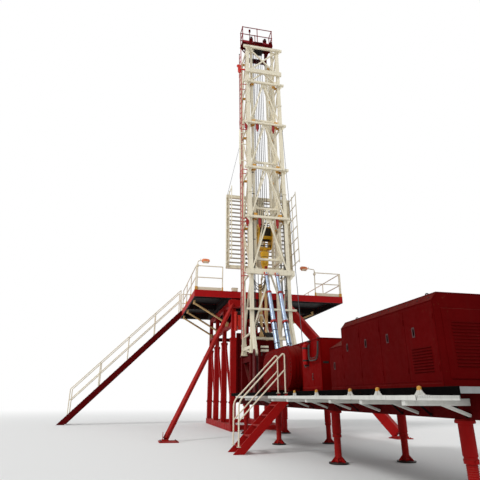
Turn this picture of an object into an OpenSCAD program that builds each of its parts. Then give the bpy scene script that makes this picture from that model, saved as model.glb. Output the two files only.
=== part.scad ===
// Land drilling rig with a raised, retracted two-section mast.
// Millimetres. Origin on the ground at the well centre, +Z up.
// -Y is the machinery end, +Y the pipe-handling end, +X the driller's side.

/* [Mast] */
// Leg spacing of the lower mast across the rig, centre to centre
mast_w = 1600; // [1500:10:1800]
// Leg spacing of the lower mast along the rig, centre to centre
mast_d = 1450; // [1350:10:1700]
// Side of the lower mast's square legs
leg = 150; // [130:5:180]
// Lean of the mast towards the well, degrees
lean = 3; // [2:0.5:4]
// Height of the leg feet above the ground
foot_z = 3400; // [3300:10:3600]
// From the well centre back to the carrier-side legs at their feet
mast_back = 3330; // [3200:10:3500]
// Height of one braced panel
panel = 2500; // [2400:10:2550]
// Height of the first heavy beam above the feet
first_girt = 2750; // [2650:10:2900]
// Length of the lower mast's legs
lower_len = 15170; // [15000:10:15600]
// Depth of a girt on the carrier side, top to bottom
girt_h = 105; // [90:5:150]
// Side of the bracing bars
brace = 62; // [50:2:80]

/* [Upper mast] */
// Side of the upper mast's square legs
inner_leg = 110; // [100:5:130]
// Running gap between upper and lower legs, across the rig
slide_gap = 105; // [90:5:130]
// Height of the upper mast's lower end above the lower feet
upper_start = 3250; // [3150:10:3400]
// Rise of the upper legs' tops above the lower legs, mast retracted
crown_rise = 130; // [50:10:300]
// Height of one braced panel in the upper mast
inner_panel = 2400; // [2300:10:2450]

/* [Crown] */
// Height of the crown frame
crown_h = 1050; // [950:10:1200]
// Width of the crown platform
crown_w = 1740; // [1500:10:1900]
// Start of the platform, from the carrier-side legs
crown_near = 810; // [700:10:900]
// Depth of the platform along the rig
crown_d = 560; // [500:10:900]
// Radius of the line sheaves
sheave_r = 340; // [300:5:360]
// Thickness of one sheave
sheave_t = 70; // [50:2:80]
// Number of crown sheaves
sheaves = 5; // [3:1:5]

/* [Travelling block] */
// Height of the block's sheave axle above the feet
block_w = 4800; // [4700:10:5000]
// Width of the block across its cheeks
block_x = 620; // [560:10:680]
// Diameter of the drill line
line_d = 26; // [20:1:32]

/* [Racking board] */
// Width of the board
board_w = 3130; // [2900:10:3140]
// Length of the board from hinge to tip
board_l = 3700; // [3400:10:4000]
// Height of the board's hinge above the feet
board_hinge = 3400; // [3350:10:3500]
// Number of fingers on each side
fingers = 7; // [5:1:9]

/* [Rig floor] */
// Height of the floor above the ground
floor_z = 5780; // [5700:10:5900]
// From the well centre to the floor's front edge
floor_front = 980; // [900:10:1050]
// From the well centre to the floor's back edge
floor_back = 5600; // [5400:10:5800]
// Width of the left wing, beside the centre section
left_wing = 1620; // [1500:10:1700]
// Width of the right wing, on the driller's side
right_wing = 2980; // [2800:10:3100]
// Width of the centre section
centre_w = 2500; // [2400:10:2600]
// Depth of the floor's edge beams
floor_t = 300; // [260:10:340]
// Height of the guard rails
rail_h = 1120; // [1050:10:1200]
// Diameter of the rail tubes
rail_d = 48; // [40:1:60]

/* [Substructure] */
// Spacing of the two column rows
col_gap = 2100; // [2050:10:2200]
// Side of the columns
col = 180; // [160:5:200]
// Columns in each row
columns = 4; // [3:1:5]
// Depth of the ground beams
base_h = 250; // [200:10:300]
// Side of the raker legs
raker = 230; // [200:5:260]
// Reach of the raker legs' feet from the rig's middle
raker_x = 4000; // [3800:10:4200]

/* [Stair] */
// Width of the stair between its stringers
stair_w = 800; // [700:10:900]
// Number of risers in the stair
risers = 25; // [23:1:27]
// Depth of a tread
tread = 230; // [200:5:250]

/* [Machinery] */
// Height of the machinery deck
deck_z = 1450; // [1400:10:1500]
// Width of the machinery deck
deck_w = 2500; // [2400:10:2600]
// Length of the machinery deck behind the mast feet
deck_l = 14300; // [14000:10:15000]
// Depth of the skid's main beams
skid_h = 320; // [280:10:360]
// Height of the engine housing's side wall above the deck
housing_h = 1145; // [1100:10:1250]
// Height of the low housing's side wall above the deck
hood_h = 820; // [750:10:900]
// Height of the tank above the deck
tank_h = 1100; // [1000:10:1150]
// From the deck's front end back to the drawworks
draw_back = 4970; // [4900:10:5100]
// Length of the drawworks
draw_l = 2500; // [2400:10:2600]
// Length of the tank
tank_l = 2000; // [1800:10:2100]
// Length of the low housing
hood_l = 650; // [600:10:700]
// Gap between neighbouring housings
house_gap = 350; // [200:10:450]
// Height of the drum guard
guard_h = 1130; // [1050:10:1180]

/* [Raising cylinders] */
// Outer diameter of the barrels
barrel_d = 200; // [190:2:220]
// Spacing of the two cylinders
cyl_gap = 460; // [440:10:560]
// Hinge of the mast, in front of the carrier-side legs
hinge_v = 490; // [470:5:520]
// Hinge of the mast, below the leg feet
hinge_w = 576; // [560:2:600]

/* [Hidden] */
$fn = 24;
seat = 0.3;

red = "#a3201c";
bright_red = "#c2231c";
dark_red = "#6d1518";
cream = "#e6dfc9";
tan_paint = "#c9a978";
yellow = "#d8a512";
silver = "#b8bec6";
grey = "#8d9092";
dark = "#33312f";

front_y = -floor_front;
lx = mast_w / 2;
upper_x = lx - leg / 2 - slide_gap - inner_leg / 2;
upper_v1 = leg / 2 + 35 + inner_leg / 2;
plate_beam = lower_len - 1700;
upper_v2 = mast_d - upper_v1;
upper_top = lower_len + crown_rise;
upper_len = upper_top - upper_start;
girts = 5;
sheave_v = (upper_v1 + upper_v2) / 2;
crown_end = max(upper_v2 + 60, crown_near + crown_d);
sheave_w = upper_top + crown_h * 0.52;
plate_w = upper_top + crown_h;
board_v = mast_d + leg / 2 + 80;
fast_x = -400;
line_v = sheave_r - 25 + line_d / 2;
tube_gap = 0.8;
stay_w = 11500;
col_x = col_gap / 2;
col_y0 = front_y + 100;
col_pitch = (floor_back - 100 - col_y0 - col) / (columns - 1);
frame_top = floor_z - floor_t;
strut_z = 4350;
joist_y = [front_y + 300, (front_y + floor_back) / 2, floor_back - 400];
deck_front = -mast_back + 1800;
deck_back = deck_front - deck_l;
draw_y = deck_front - draw_back;
guard_y = draw_y + 100;
tank_y = draw_y - draw_l - house_gap;
hood_y = tank_y - tank_l - house_gap - 150;
engine_y = hood_y - hood_l;
sleeve = col + 65;
sleeve_z = 3750;
board_stair_y = draw_y - 2450;
pedestal_z = 2850;
stair_rise = floor_z / risers;
stair_run = stair_rise;
stair_y = floor_back - 950;

// Places its children in the leaning mast's own frame: X across,
// Y along the rig from the carrier-side legs, Z up the legs from their feet.
module on_mast() {
    translate([0, -mast_back, foot_z]) rotate([-lean, 0, 0]) children();
}

// Rectangular bar from a to b, w across and h in the upright plane.
module bar(a, b, w, h) {
    d = b - a;
    l = norm(d);
    translate(a) rotate([0, acos(d.z / l), atan2(d.y, d.x)])
        translate([-h / 2, -w / 2, 0]) cube([h, w, l]);
}

// Round bar from a to b.
module rod(a, b, d) {
    v = b - a;
    l = norm(v);
    translate(a) rotate([0, acos(v.z / l), atan2(v.y, v.x)]) cylinder(d = d, h = l, $fn = 12);
}

// Block between two corners.
module block(a, b) {
    translate(a) cube(b - a);
}

// Guard rail along a straight run on a floor: posts, top and middle rail.
module rail_run(a, b, posts) {
    d = b - a;
    for (i = [0 : posts - 1]) {
        p = a + d * i / (posts - 1);
        rod(p, p + [0, 0, rail_h], rail_d);
    }
    rod(a + [0, 0, rail_h], b + [0, 0, rail_h], rail_d);
    rod(a + [0, 0, rail_h * 0.52], b + [0, 0, rail_h * 0.52], rail_d);
}

module base_beams() color(red) {
    for (s = [-1, 1])
        block([s * col_x - 130, front_y - 150, 0], [s * col_x + 130, floor_back - 50, base_h]);
    for (y = [front_y + 300, floor_back - 500])
        block([-col_x + 130, y, 30], [col_x - 130, y + 200, base_h - 30]);
}

// One row of columns with its top, strut and ground beams.
module column_row(s) {
    x = s * col_x;
    for (i = [0 : columns - 1]) {
        y = col_y0 + i * col_pitch;
        block([x - col / 2, y, base_h], [x + col / 2, y + col, frame_top]);
        block([x - sleeve / 2, y + col / 2 - sleeve / 2, base_h], [x + sleeve / 2, y + col / 2 + sleeve / 2, sleeve_z]);
        block([x - sleeve / 2 - 12, y + col / 2 - sleeve / 2 - 12, sleeve_z - 120], [x + sleeve / 2 + 12, y + col / 2 + sleeve / 2 + 12, sleeve_z]);
    }
    block([x - 70, col_y0 + 10, frame_top - 200], [x + 70, floor_back - 110, frame_top]);
    block([x - col / 2, col_y0 + 10, strut_z - 90], [x + col / 2, floor_back - 110, strut_z + 90]);
    for (i = [0 : columns - 2]) {
        y = col_y0 + i * col_pitch + col / 2;
        bar([x, y, base_h + 300], [x, y + col_pitch, strut_z - 120], 90, 90);
    }
}

module left_column_frame() color(red) column_row(-1);
module right_column_frame() color(red) column_row(1);

module cross_row(y) {
    xi = col_x - col / 2;
    block([-xi, y, frame_top - 200], [xi, y + 140, frame_top]);
    block([-xi, y, strut_z - 90], [xi, y + 140, strut_z + 90]);
}

module front_cross_frame() color(dark_red) {
    cross_row(col_y0 + 20);
    // Beam that the raker legs and the raised mast bear against, on two arms
    block([-1250, -1650, 4950], [1250, -1470, 5200]);
    for (s = [-1, 1])
        block([s * col_x - 60, -1475, 5000], [s * col_x + 60, col_y0 - seat, 5150]);
    on_mast() for (s = [-1, 1])
        block([s * lx - 80, mast_d + leg / 2 + seat, 1600], [s * lx + 80, mast_d + leg / 2 + 110, 1760]);
}

module back_cross_frame() color(dark_red) {
    cross_row(floor_back - 100 - col + 20);
}

module raker_leg(s) {
    a = [s * 1090, -1950, 4990];
    b = [s * raker_x, -5230, 60];
    difference() {
        bar(a, b, raker, raker);
        translate([s * raker_x - 600, -6000, -1000]) cube([1200, 1500, 1030]);
    }
    block([s * raker_x - 300, -5550, 0], [s * raker_x + 300, -4950, 30]);
    block([s * 1100 - 140, -2000, 4900], [s * 1100 + 140, -1650 - seat, 5200]);
}

module raker_legs() color(red) {
    raker_leg(-1);
    raker_leg(1);
}

// Deck plate on edge beams with cross joists below.
module floor_panel(x0, x1, y0, y1) {
    block([x0, y0, floor_z - 20], [x1, y1, floor_z]);
    block([x0, y0, frame_top], [x1, y0 + 80, floor_z - 20]);
    block([x0, y1 - 80, frame_top], [x1, y1, floor_z - 20]);
    block([x0, y0, frame_top], [x0 + 80, y1, floor_z - 20]);
    block([x1 - 80, y0, frame_top], [x1, y1, floor_z - 20]);
    for (y = joist_y)
        block([x0, y - 50, frame_top], [x1, y + 50, floor_z - 20]);
}

module floor_centre() color(red) {
    difference() {
        floor_panel(-centre_w / 2, centre_w / 2, front_y, floor_back);
        cylinder(d = 1300, h = 3 * floor_z, center = true);
    }
}

module floor_left_wing() color(red)
    floor_panel(-centre_w / 2 - left_wing, -centre_w / 2 - seat, front_y, floor_back);

module floor_right_wing() color(red)
    floor_panel(centre_w / 2 + seat, centre_w / 2 + right_wing, front_y, floor_back);

module wing_struts() color(tan_paint) {
    for (y = joist_y) {
        difference() {
            union() {
                rod([-col_x - 60, y, strut_z], [-centre_w / 2 - left_wing + 150, y, frame_top + 40], 90);
                rod([col_x + 60, y, strut_z - 40], [centre_w / 2 + right_wing - 250, y, frame_top + 40], 90);
            }
            block([-5000, y - 100, frame_top - seat], [5000, y + 100, frame_top + 400]);
            block([-col_x - col / 2 - seat, y - 100, 3000], [col_x + col / 2 + seat, y + 100, 5000]);
        }
    }
}

module left_wing_railing() color(cream) {
    x = -centre_w / 2 - left_wing + 40;
    z = floor_z + seat;
    rail_run([x + 60, front_y + 40, z], [-board_w / 2 - rail_d / 2 - 15, front_y + 40, z], 2);
    rail_run([x, front_y + 40, z], [x, stair_y - 60, z], 4);
}

module right_wing_railing() color(cream) {
    x = centre_w / 2 + right_wing - 40;
    z = floor_z + seat;
    rail_run([x - 1300, front_y + 40, z], [x - 60, front_y + 40, z], 2);
    rail_run([x, front_y + 40, z], [x, floor_back - 40, z], 4);
}

module back_railing() color(cream) {
    z = floor_z + seat;
    y = floor_back - 40;
    rail_run([-centre_w / 2 - left_wing + 40, y, z], [-900, y, z], 3);
    rail_run([900, y, z], [centre_w / 2 + right_wing - 120, y, z], 4);
}

module rotary_table() color(dark) {
    difference() {
        union() {
            translate([0, 0, frame_top + 20]) cylinder(d = 1280, h = floor_z - frame_top + 20, $fn = 48);
            translate([0, 0, floor_z + seat]) cylinder(d = 1400, h = 60, $fn = 48);
        }
        translate([0, 0, 1000]) cylinder(d = 444.5, h = floor_z, $fn = 48);
    }
}

// Lamp on an arm from a rail post; s is the side of the lamp on which the post stands.
module floodlight(x, z, post, s) {
    y = front_y + 40;
    translate([x, y, z]) rotate([0, 90, 0]) {
        cylinder(d = 190, h = 300, center = true);
        translate([0, 0, -150]) cylinder(d1 = 110, d2 = 190, h = 60, center = true);
        translate([0, 0, 150]) cylinder(d1 = 190, d2 = 110, h = 60, center = true);
    }
    rod([post, y, floor_z + rail_h + rail_d / 2 + seat], [post, y, z - 60], 40);
    rod([post, y, z - 70], [x + s * 165, y, z], 40);
}

module floodlights() color("#e08a5a") {
    floodlight(-2410, 7150, -centre_w / 2 - left_wing + 100, -1);
    floodlight(2360, 7080, centre_w / 2 + right_wing - 1340, 1);
}

module stair_stringers() color(dark_red) {
    x0 = -centre_w / 2 - left_wing - seat;
    for (y = [stair_y, stair_y + stair_w + 50])
        intersection() {
            bar([x0 + 300, y + 25, floor_z + 180], [x0 - floor_z - 300, y + 25, -420], 50, 260);
            block([x0 - floor_z - 600, y - 10, 0], [x0, y + 60, floor_z]);
        }
}

module stair_treads() color(grey) {
    x0 = -centre_w / 2 - left_wing - seat;
    for (i = [1 : risers - 1])
        block([x0 - i * stair_run - tread / 2 + 20, stair_y + 50 + seat, floor_z - i * stair_rise - 30],
            [x0 - i * stair_run + tread / 2 + 20, stair_y + 50 + stair_w - seat, floor_z - i * stair_rise]);
}

module stair_handrails() color(cream) {
    x0 = -centre_w / 2 - left_wing - seat;
    for (y = [stair_y + 25, stair_y + stair_w + 75]) {
        for (h = [rail_h * 0.52, rail_h])
            rod([x0 - 100, y, floor_z + 30 + h], [x0 - floor_z + 400, y, 530 + h], rail_d);
        for (i = [0 : 4]) {
            x = x0 - 100 - i * (floor_z - 500) / 4;
            rod([x, y, x - x0 + floor_z + 88], [x, y, x - x0 + floor_z + 130 + rail_h], rail_d);
        }
    }
}

module mast_base() color(cream) {
    on_mast()
        for (s = [-1, 1])
            for (v = [0, mast_d])
                block([s * lx - leg / 2 - 20, v - leg / 2 - 20, -60 - seat], [s * lx + leg / 2 + 20, v + leg / 2 + 20, -seat]);
    for (s = [-1, 1]) {
        for (v = [0, mast_d])
            difference() {
                union() {
                    block([s * lx - 90, v - mast_back - 100, pedestal_z + seat], [s * lx + 90, v - mast_back + 80, foot_z]);
                    block([s * lx - 150, v - mast_back - 160, pedestal_z + seat], [s * lx + 150, v - mast_back + 140, pedestal_z + 40]);
                }
                on_mast() block([s * lx - 300, -600, -60 - seat], [s * lx + 300, mast_d + 400, 900]);
            }
        block([s * lx - 60, -mast_back + 80, foot_z - 320], [s * lx + 60, -mast_back + mast_d - 100, foot_z - 200]);
        bar([s * lx, -mast_back + 60, pedestal_z + 80], [s * lx, -mast_back + mast_d - 80, foot_z - 260], 60, 60);
        // Clevis that carries the raising pin
        for (x = [s * lx - 88, s * lx + 58])
            translate([x, hinge_pin.y, 0]) difference() {
                union() {
                    block([0, -150, deck_z + seat], [30, 150, hinge_pin.z]);
                    translate([0, 0, hinge_pin.z]) rotate([0, 90, 0]) cylinder(r = 150, h = 30, $fn = 48);
                }
                translate([-1, 0, hinge_pin.z]) rotate([0, 90, 0]) cylinder(r = 49, h = 32, $fn = 32);
            }
        translate([s * lx - 110, hinge_pin.y, hinge_pin.z]) rotate([0, 90, 0]) cylinder(r = 49, h = 220, $fn = 32);
    }
}

// Portal below the mast's feet: four posts, tie beams and side braces.
module mast_pedestal() color(dark_red) {
    y0 = -mast_back - 10;
    y1 = -mast_back + mast_d - 10;
    for (s = [-1, 1]) {
        for (y = [y0, y1])
            block([s * lx - 110, y - 110, deck_z + seat], [s * lx + 110, y + 110, pedestal_z]);
        block([s * lx - 80, y0 + 110, pedestal_z - 260], [s * lx + 80, y1 - 110, pedestal_z - 60]);
        bar([s * lx, y0 + 90, deck_z + 80], [s * lx, y1 - 90, pedestal_z - 200], 90, 90);
    }
    for (y = [y0, y1])
        block([-lx + 110, y - 70, pedestal_z - 240], [lx - 110, y + 70, pedestal_z - 60]);
}

// Panel across the front columns, with its stiffeners
module front_panel() color(dark_red) {
    xi = col_x - sleeve / 2 - 12 - seat;
    y = col_y0 + 40;
    block([-xi, y, 1100], [xi, y + 12, 3950]);
    for (x = [-xi, -xi / 3 - 30, xi / 3 - 30, xi - 60])
        block([x, y - 60, 1100], [x + 60, y, 3950]);
    for (z = [1100, 2450, 3890])
        block([-xi, y - 60, z], [xi, y, z + 60]);
}

module skid_frame() color(dark_red) {
    z1 = deck_z - 80;
    for (s = [-1, 1])
        block([s * 800 - 90, deck_back, z1 - skid_h], [s * 800 + 90, deck_front, z1]);
    for (i = [0 : 6]) {
        y = deck_back + 100 + (deck_l - 400) * i / 6;
        block([-710, y, z1 - skid_h + 40], [710, y + 160, z1]);
    }
}

module skid_deck() color(grey)
    block([-deck_w / 2, deck_back, deck_z - 80], [deck_w / 2, deck_front, deck_z]);

module levelling_jacks() color(red) {
    zb = deck_z - 80 - skid_h;
    for (s = [-1, 1])
        for (i = [0 : 3]) {
            y = deck_front - 700 - i * (deck_l - 1300) / 3;
            translate([s * 800, y, 40]) cylinder(d = 140, h = zb - 40);
            translate([s * 800, y, 0]) cylinder(d = 420, h = 40);
        }
}

module drawworks() color(dark_red)
    block([-deck_w / 2 + 400, draw_y - draw_l, deck_z + seat], [900, draw_y, deck_z + 750]);

module drum_guard() color(red) {
    r = guard_h / 2;
    z = deck_z + 50 + r;
    l = draw_l + 400;
    translate([-deck_w / 2 + 400 - seat, guard_y, 0]) rotate([0, -90, 0]) {
        translate([z, -r, 0]) cylinder(r = r, h = 380, $fn = 64);
        translate([z, -l + r, 0]) cylinder(r = r, h = 380, $fn = 64);
        translate([z - r, -l + r, 0]) cube([guard_h, l - guard_h, 380]);
    }
}

module fluid_tank() color(bright_red)
    block([-deck_w / 2, tank_y - tank_l, deck_z + seat], [deck_w / 2 - 100, tank_y, deck_z + tank_h]);

// Section of a housing as wide as the deck: walls h high, roof edges cut back by c and rising by r.
module housing_outline(h, c, r) {
    x = deck_w / 2;
    polygon([[-x, 0], [x, 0], [x, h], [x - c, h + r], [-x + c, h + r], [-x, h]]);
}

module low_housing() color(red)
    translate([0, hood_y, deck_z + seat]) rotate([90, 0, 0]) linear_extrude(hood_l - seat)
        housing_outline(hood_h, 285, 167);

module engine_housing() color(red)
    translate([0, engine_y, deck_z + seat]) rotate([90, 0, 0]) linear_extrude(engine_y - deck_back - 300)
        housing_outline(housing_h, 95, 115);

module side_walkway() color(grey)
    {
    y1 = board_stair_y - 250;
    block([-deck_w / 2 - 620, deck_back, deck_z - 150], [-deck_w / 2 - seat, y1, deck_z - 110]);
    for (y = [deck_back + 300 : 1200 : y1 - 200])
        block([-deck_w / 2 - 600, y, deck_z - 230], [-890 - seat, y + 80, deck_z - 150]);
}

module boarding_stair() color(red) {
    y0 = board_stair_y;
    for (y = [y0, y0 + 650])
        intersection() {
            bar([-deck_w / 2 + 200, y + 20, deck_z + 60], [-deck_w / 2 - 1900, y + 20, deck_z - 2040], 40, 200);
            block([-deck_w / 2 - 2000, y - 5, 0], [-deck_w / 2 - seat, y + 45, deck_z - 5]);
        }
    for (i = [1 : 5])
        block([-deck_w / 2 - i * 235 - 100, y0 + 30, deck_z - i * 240 - 110],
            [-deck_w / 2 - i * 235 + 120, y0 + 660, deck_z - i * 240 - 80]);
}

module boarding_handrails() color(cream) {
    y0 = board_stair_y;
    for (y = [y0 + 20, y0 + 670]) {
        p = [-deck_w / 2 - 60, y, deck_z];
        rod(p + [0, 0, -38], p + [0, 0, 1000], 40);
        rod(p + [-1250, 0, -1288], p + [-1250, 0, -250], 40);
        rod(p + [0, 0, 1000], p + [-1250, 0, -250], 40);
        rod(p + [0, 0, 550], p + [-1250, 0, -700], 40);
    }
}

hinge_pin = [0, -mast_back - hinge_v * cos(lean) - hinge_w * sin(lean),
    foot_z + hinge_v * sin(lean) - hinge_w * cos(lean)];
foot_pin = [0, -4970, 2600];
// Lug pins of the raising cylinders, in the mast's frame.
lug_v = -leg / 2 - 160;
lug_w = first_girt - 90;
// Middle of the lug pins in the rig's frame, mast raised.
lug_pin = [0, -mast_back + lug_v * cos(lean) + lug_w * sin(lean), foot_z - lug_v * sin(lean) + lug_w * cos(lean)];
stage_1_d = barrel_d - 34;
stage_2_d = stage_1_d - 32;
cyl_len = norm(lug_pin - foot_pin);
cyl_lean = atan2(lug_pin.y - foot_pin.y, lug_pin.z - foot_pin.z);

// Places its children along both raising cylinders: Z from foot pin to lug.
module on_cylinders() {
    for (s = [-1, 1])
        translate(foot_pin + [s * cyl_gap / 2, 0, 0]) rotate([-cyl_lean, 0, 0]) children();
}

module cylinder_foot() color(dark_red) {
    for (s = [-1, 1])
        for (x = [s * cyl_gap / 2 - 75, s * cyl_gap / 2 + 55])
            translate([x, foot_pin.y, 0]) difference() {
                union() {
                    block([0, -110, deck_z + seat], [20, 110, foot_pin.z]);
                    translate([0, 0, foot_pin.z]) rotate([0, 90, 0]) cylinder(r = 110, h = 20, $fn = 32);
                }
                translate([-1, 0, foot_pin.z]) rotate([0, 90, 0]) cylinder(r = 40, h = 22, $fn = 32);
            }
    translate([-cyl_gap / 2 - 120, foot_pin.y, foot_pin.z]) rotate([0, 90, 0])
        cylinder(r = 40, h = cyl_gap + 240, $fn = 32);
}

module cylinder_barrels() color(silver) {
    on_cylinders() difference() {
        union() {
            rotate([0, 90, 0]) cylinder(r = 95, h = 90, center = true, $fn = 32);
            translate([-45, -80, 0]) cube([90, 160, 140]);
            translate([0, 0, 130]) cylinder(d = barrel_d, h = 1400, $fn = 32);
        }
        rotate([0, 90, 0]) cylinder(r = 40 + tube_gap, h = 100, center = true, $fn = 32);
        translate([0, 0, 200]) cylinder(d = stage_1_d + 2 * tube_gap, h = 1400, $fn = 32);
    }
}

module cylinder_stage_1() color(silver)
    on_cylinders() translate([0, 0, 1230]) difference() {
        cylinder(d = stage_1_d, h = 1640, $fn = 32);
        translate([0, 0, 30]) cylinder(d = stage_2_d + 2 * tube_gap, h = 1640, $fn = 32);
    }

module cylinder_stage_2() color(silver)
    on_cylinders() difference() {
        union() {
            translate([0, 0, 2570]) cylinder(d = stage_2_d, h = cyl_len - 2570 - 105, $fn = 32);
            translate([-30, -50, cyl_len - 115]) cube([60, 100, 115]);
            translate([-30, 0, cyl_len]) rotate([0, 90, 0]) cylinder(r = 54, h = 60, $fn = 32);
        }
        translate([-31, 0, cyl_len]) rotate([0, 90, 0]) cylinder(r = 33, h = 62, $fn = 32);
    }

// One side of the lower mast: two legs, girts and zigzag bracing in a flat truss.
module lower_side(s) {
    on_mast() {
        for (v = [0, mast_d])
            block([s * lx - leg / 2, v - leg / 2, 0], [s * lx + leg / 2, v + leg / 2, lower_len]);
        for (k = [0 : girts - 1]) {
            w = first_girt + k * panel;
            bar([s * lx, 0, w], [s * lx, mast_d, w], brace, brace);
            if (k < girts - 1)
                bar([s * lx, k % 2 == 0 ? 0 : mast_d, w], [s * lx, k % 2 == 0 ? mast_d : 0, w + panel], brace, brace);
        }
        bar([s * lx, 0, lower_len - 80], [s * lx, mast_d, lower_len - 80], brace, brace + 40);
        bar([s * lx, mast_d, first_girt + (girts - 1) * panel], [s * lx, 0, lower_len - 80], brace, brace);
        bar([s * lx, mast_d, 300], [s * lx, 0, first_girt], brace, brace);
        bar([s * lx, 0, 300], [s * lx, mast_d, 300], brace, brace);
        // Hinge arm, from the carrier-side foot forward to the raising pin
        for (x = [s * lx - 50])
            translate([x, 0, 0]) rotate([90, 0, 90]) difference() {
                union() {
                    linear_extrude(100) polygon([[-leg / 2 + 1, 60], [-leg / 2 + 1, 900], [-hinge_v - 90, -hinge_w + 40],
                        [-hinge_v + 60, -hinge_w - 80]]);
                    translate([-hinge_v, -hinge_w, 0]) cylinder(r = 105, h = 100, $fn = 32);
                }
                translate([-hinge_v, -hinge_w, -1]) cylinder(r = 50, h = 102, $fn = 32);
            }
    }
}

module lower_mast_left_side() color(cream) lower_side(-1);
module lower_mast_right_side() color(cream) lower_side(1);

module lower_mast_carrier_face() color(cream) on_mast() {
    xi = lx - leg / 2;
    v0 = -leg / 2 - 100;
    // Girts run in front of the legs and past them
    for (k = [0 : girts - 1]) {
        w = first_girt + k * panel;
        h = k == 0 ? 230 : girt_h;
        block([-lx - 240, v0, w - h / 2], [lx + 240, -leg / 2, w + h / 2]);
    }
    block([-lx - 150, v0, plate_beam - 120], [lx + 150, -leg / 2, plate_beam + 120]);
    // Brackets under the girts' ends
    for (w = concat([for (k = [0 : girts - 1]) first_girt + k * panel - (k == 0 ? 114 : girt_h / 2 - 1)], [lower_len - 154]))
        for (s = [-1, 1])
            translate([0, v0 + 40, w]) rotate([90, 0, 0]) linear_extrude(14)
                polygon([[s * (lx + leg / 2 - 20), 1], [s * (lx + 225), 1], [s * (lx + leg / 2 - 20), -210]]);
    block([-lx - 240, v0, lower_len - 155], [lx + 240, -leg / 2, lower_len - 25]);
    block([-lx - 240, v0, 1150], [lx + 240, -leg / 2, 1220]);
    // Guide arm that steadies the fast line
    block([fast_x - 20, v0, 1160], [fast_x + 20, sheave_v - line_v - line_d / 2 - seat, 1210]);
    intersection() {
        union() {
            for (k = [0 : girts - 2]) {
                w = first_girt + k * panel;
                for (s = [-1, 1])
                    bar([s * lx, -leg / 2 + brace / 2, w], [0, -leg / 2 + brace / 2, w + panel], brace, brace);
            }
            for (s = [-1, 1]) {
                bar([s * lx, -leg / 2 + brace / 2, first_girt + (girts - 1) * panel], [0, -leg / 2 + brace / 2, plate_beam], brace, brace);
                bar([s * lx, -leg / 2 + brace / 2, plate_beam], [-s * lx, -leg / 2 + brace / 2, lower_len - 90], brace, brace);
                bar([s * lx, -leg / 2 + brace / 2, 300], [0, -leg / 2 + brace / 2, first_girt], brace, brace);
            }
        }
        block([-xi, -leg / 2, 0], [xi, -leg / 2 + brace, lower_len]);
    }
    // Lugs for the raising cylinders
    for (s = [-1, 1])
        for (x = [s * cyl_gap / 2 - 60, s * cyl_gap / 2 + 36])
            translate([x, 0, lug_w]) rotate([90, 0, 90]) difference() {
                union() {
                    translate([v0 - 1 + 1 - 60, -80, 0]) cube([60, 220, 24]);
                    translate([lug_v, 0, 0]) cylinder(r = 80, h = 24, $fn = 32);
                }
                translate([lug_v, 0, -1]) cylinder(r = 33, h = 26, $fn = 32);
            }
}

module mast_guide_pads() color(tan_paint) on_mast() {
    xo = lx - brace / 2;
    xi = upper_x + inner_leg / 2 + tube_gap;
    for (v = [upper_v1, upper_v2])
        for (k = [1 : girts]) {
            w = k < girts ? first_girt + k * panel : lower_len - 80;
            block([-xo, v - 60, w - 38], [-xi, v + 60, w + 38]);
            block([xi, v - 60, w - 38], [xo, v + 60, w + 38]);
        }
    for (k = [1 : girts - 1], s = [-1, 1]) {
        w = first_girt + k * panel;
        block([s * upper_x - 75, -leg / 2 + (k == girts - 1 ? brace : 0) + seat, w - girt_h / 2 + 5], [s * upper_x + 75, upper_v1 - inner_leg / 2 - tube_gap, w + girt_h / 2 + 160]);
    }
}

// Latches hanging below two of the girts
module mast_latches() color(dark_red) on_mast() {
    for (k = [1, 3]) {
        w = first_girt + k * panel - girt_h / 2 - seat;
        for (x = [-lx - 150, -400, 400]) {
            block([x - 60, -leg / 2 - 45, w - 300], [x + 60, -leg / 2 + 15, w]);
            block([x - 35, -leg / 2 - 30, w - 420], [x + 35, -leg / 2, w - 299]);
        }
    }
}

module mast_ladder() color("#d98f86") on_mast() {
    x = -lx - 470;
    v = 350;
    for (s = [-1, 1])
        block([x - 22, v + s * 190 - 20, 100], [x + 22, v + s * 190 + 20, lower_len - 100]);
    for (i = [0 : floor((lower_len - 500) / 300)])
        block([x - 12, v - 171, 250 + i * 300], [x + 12, v + 171, 274 + i * 300]);
    for (k = [0 : girts - 1]) {
        w = first_girt + k * panel;
        block([x - 15, v - 171, w - 25], [x + 15, v + 171, w + 25]);
        block([x + 14, v - 20, w - 20], [-lx - brace / 2 - seat, v + 20, w + 20]);
    }
}

module fast_line() color(dark) on_mast()
    translate([fast_x, sheave_v - line_v, 1100]) cylinder(d = line_d, h = sheave_w - 1100, $fn = 8);

module upper_side(s) on_mast() {
    for (v = [upper_v1, upper_v2])
        block([s * upper_x - inner_leg / 2, v - inner_leg / 2, upper_start], [s * upper_x + inner_leg / 2, v + inner_leg / 2, upper_top]);
    n = floor((upper_len - 300) / inner_panel);
    for (k = [0 : n]) {
        w = upper_start + 150 + k * inner_panel;
        bar([s * upper_x, upper_v1, w], [s * upper_x, upper_v2, w], 70, 70);
        if (k < n)
            bar([s * upper_x, k % 2 == 0 ? upper_v1 : upper_v2, w], [s * upper_x, k % 2 == 0 ? upper_v2 : upper_v1, w + inner_panel], 70, 70);
    }
    // Arms through the open well side: one for the stay, one with the board's hinge ear
    block([s * upper_x - 50, upper_v2, stay_w - 50], [s * upper_x + 50, board_v + 90, stay_w + 50]);
    difference() {
        union() {
            block([s * upper_x - 40, upper_v2, board_hinge - 130], [s * upper_x + 40, board_v + 60, board_hinge - 10]);
            translate([s * upper_x - 40, board_v + 60, board_hinge - 70]) rotate([0, 90, 0]) cylinder(r = 60, h = 80, $fn = 32);
        }
        translate([s * upper_x - 41, board_v + 60, board_hinge - 70]) rotate([0, 90, 0]) cylinder(r = 26, h = 82, $fn = 32);
    }
}

module upper_mast_left_side() color(cream) upper_side(-1);
module upper_mast_right_side() color(cream) upper_side(1);

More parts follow.
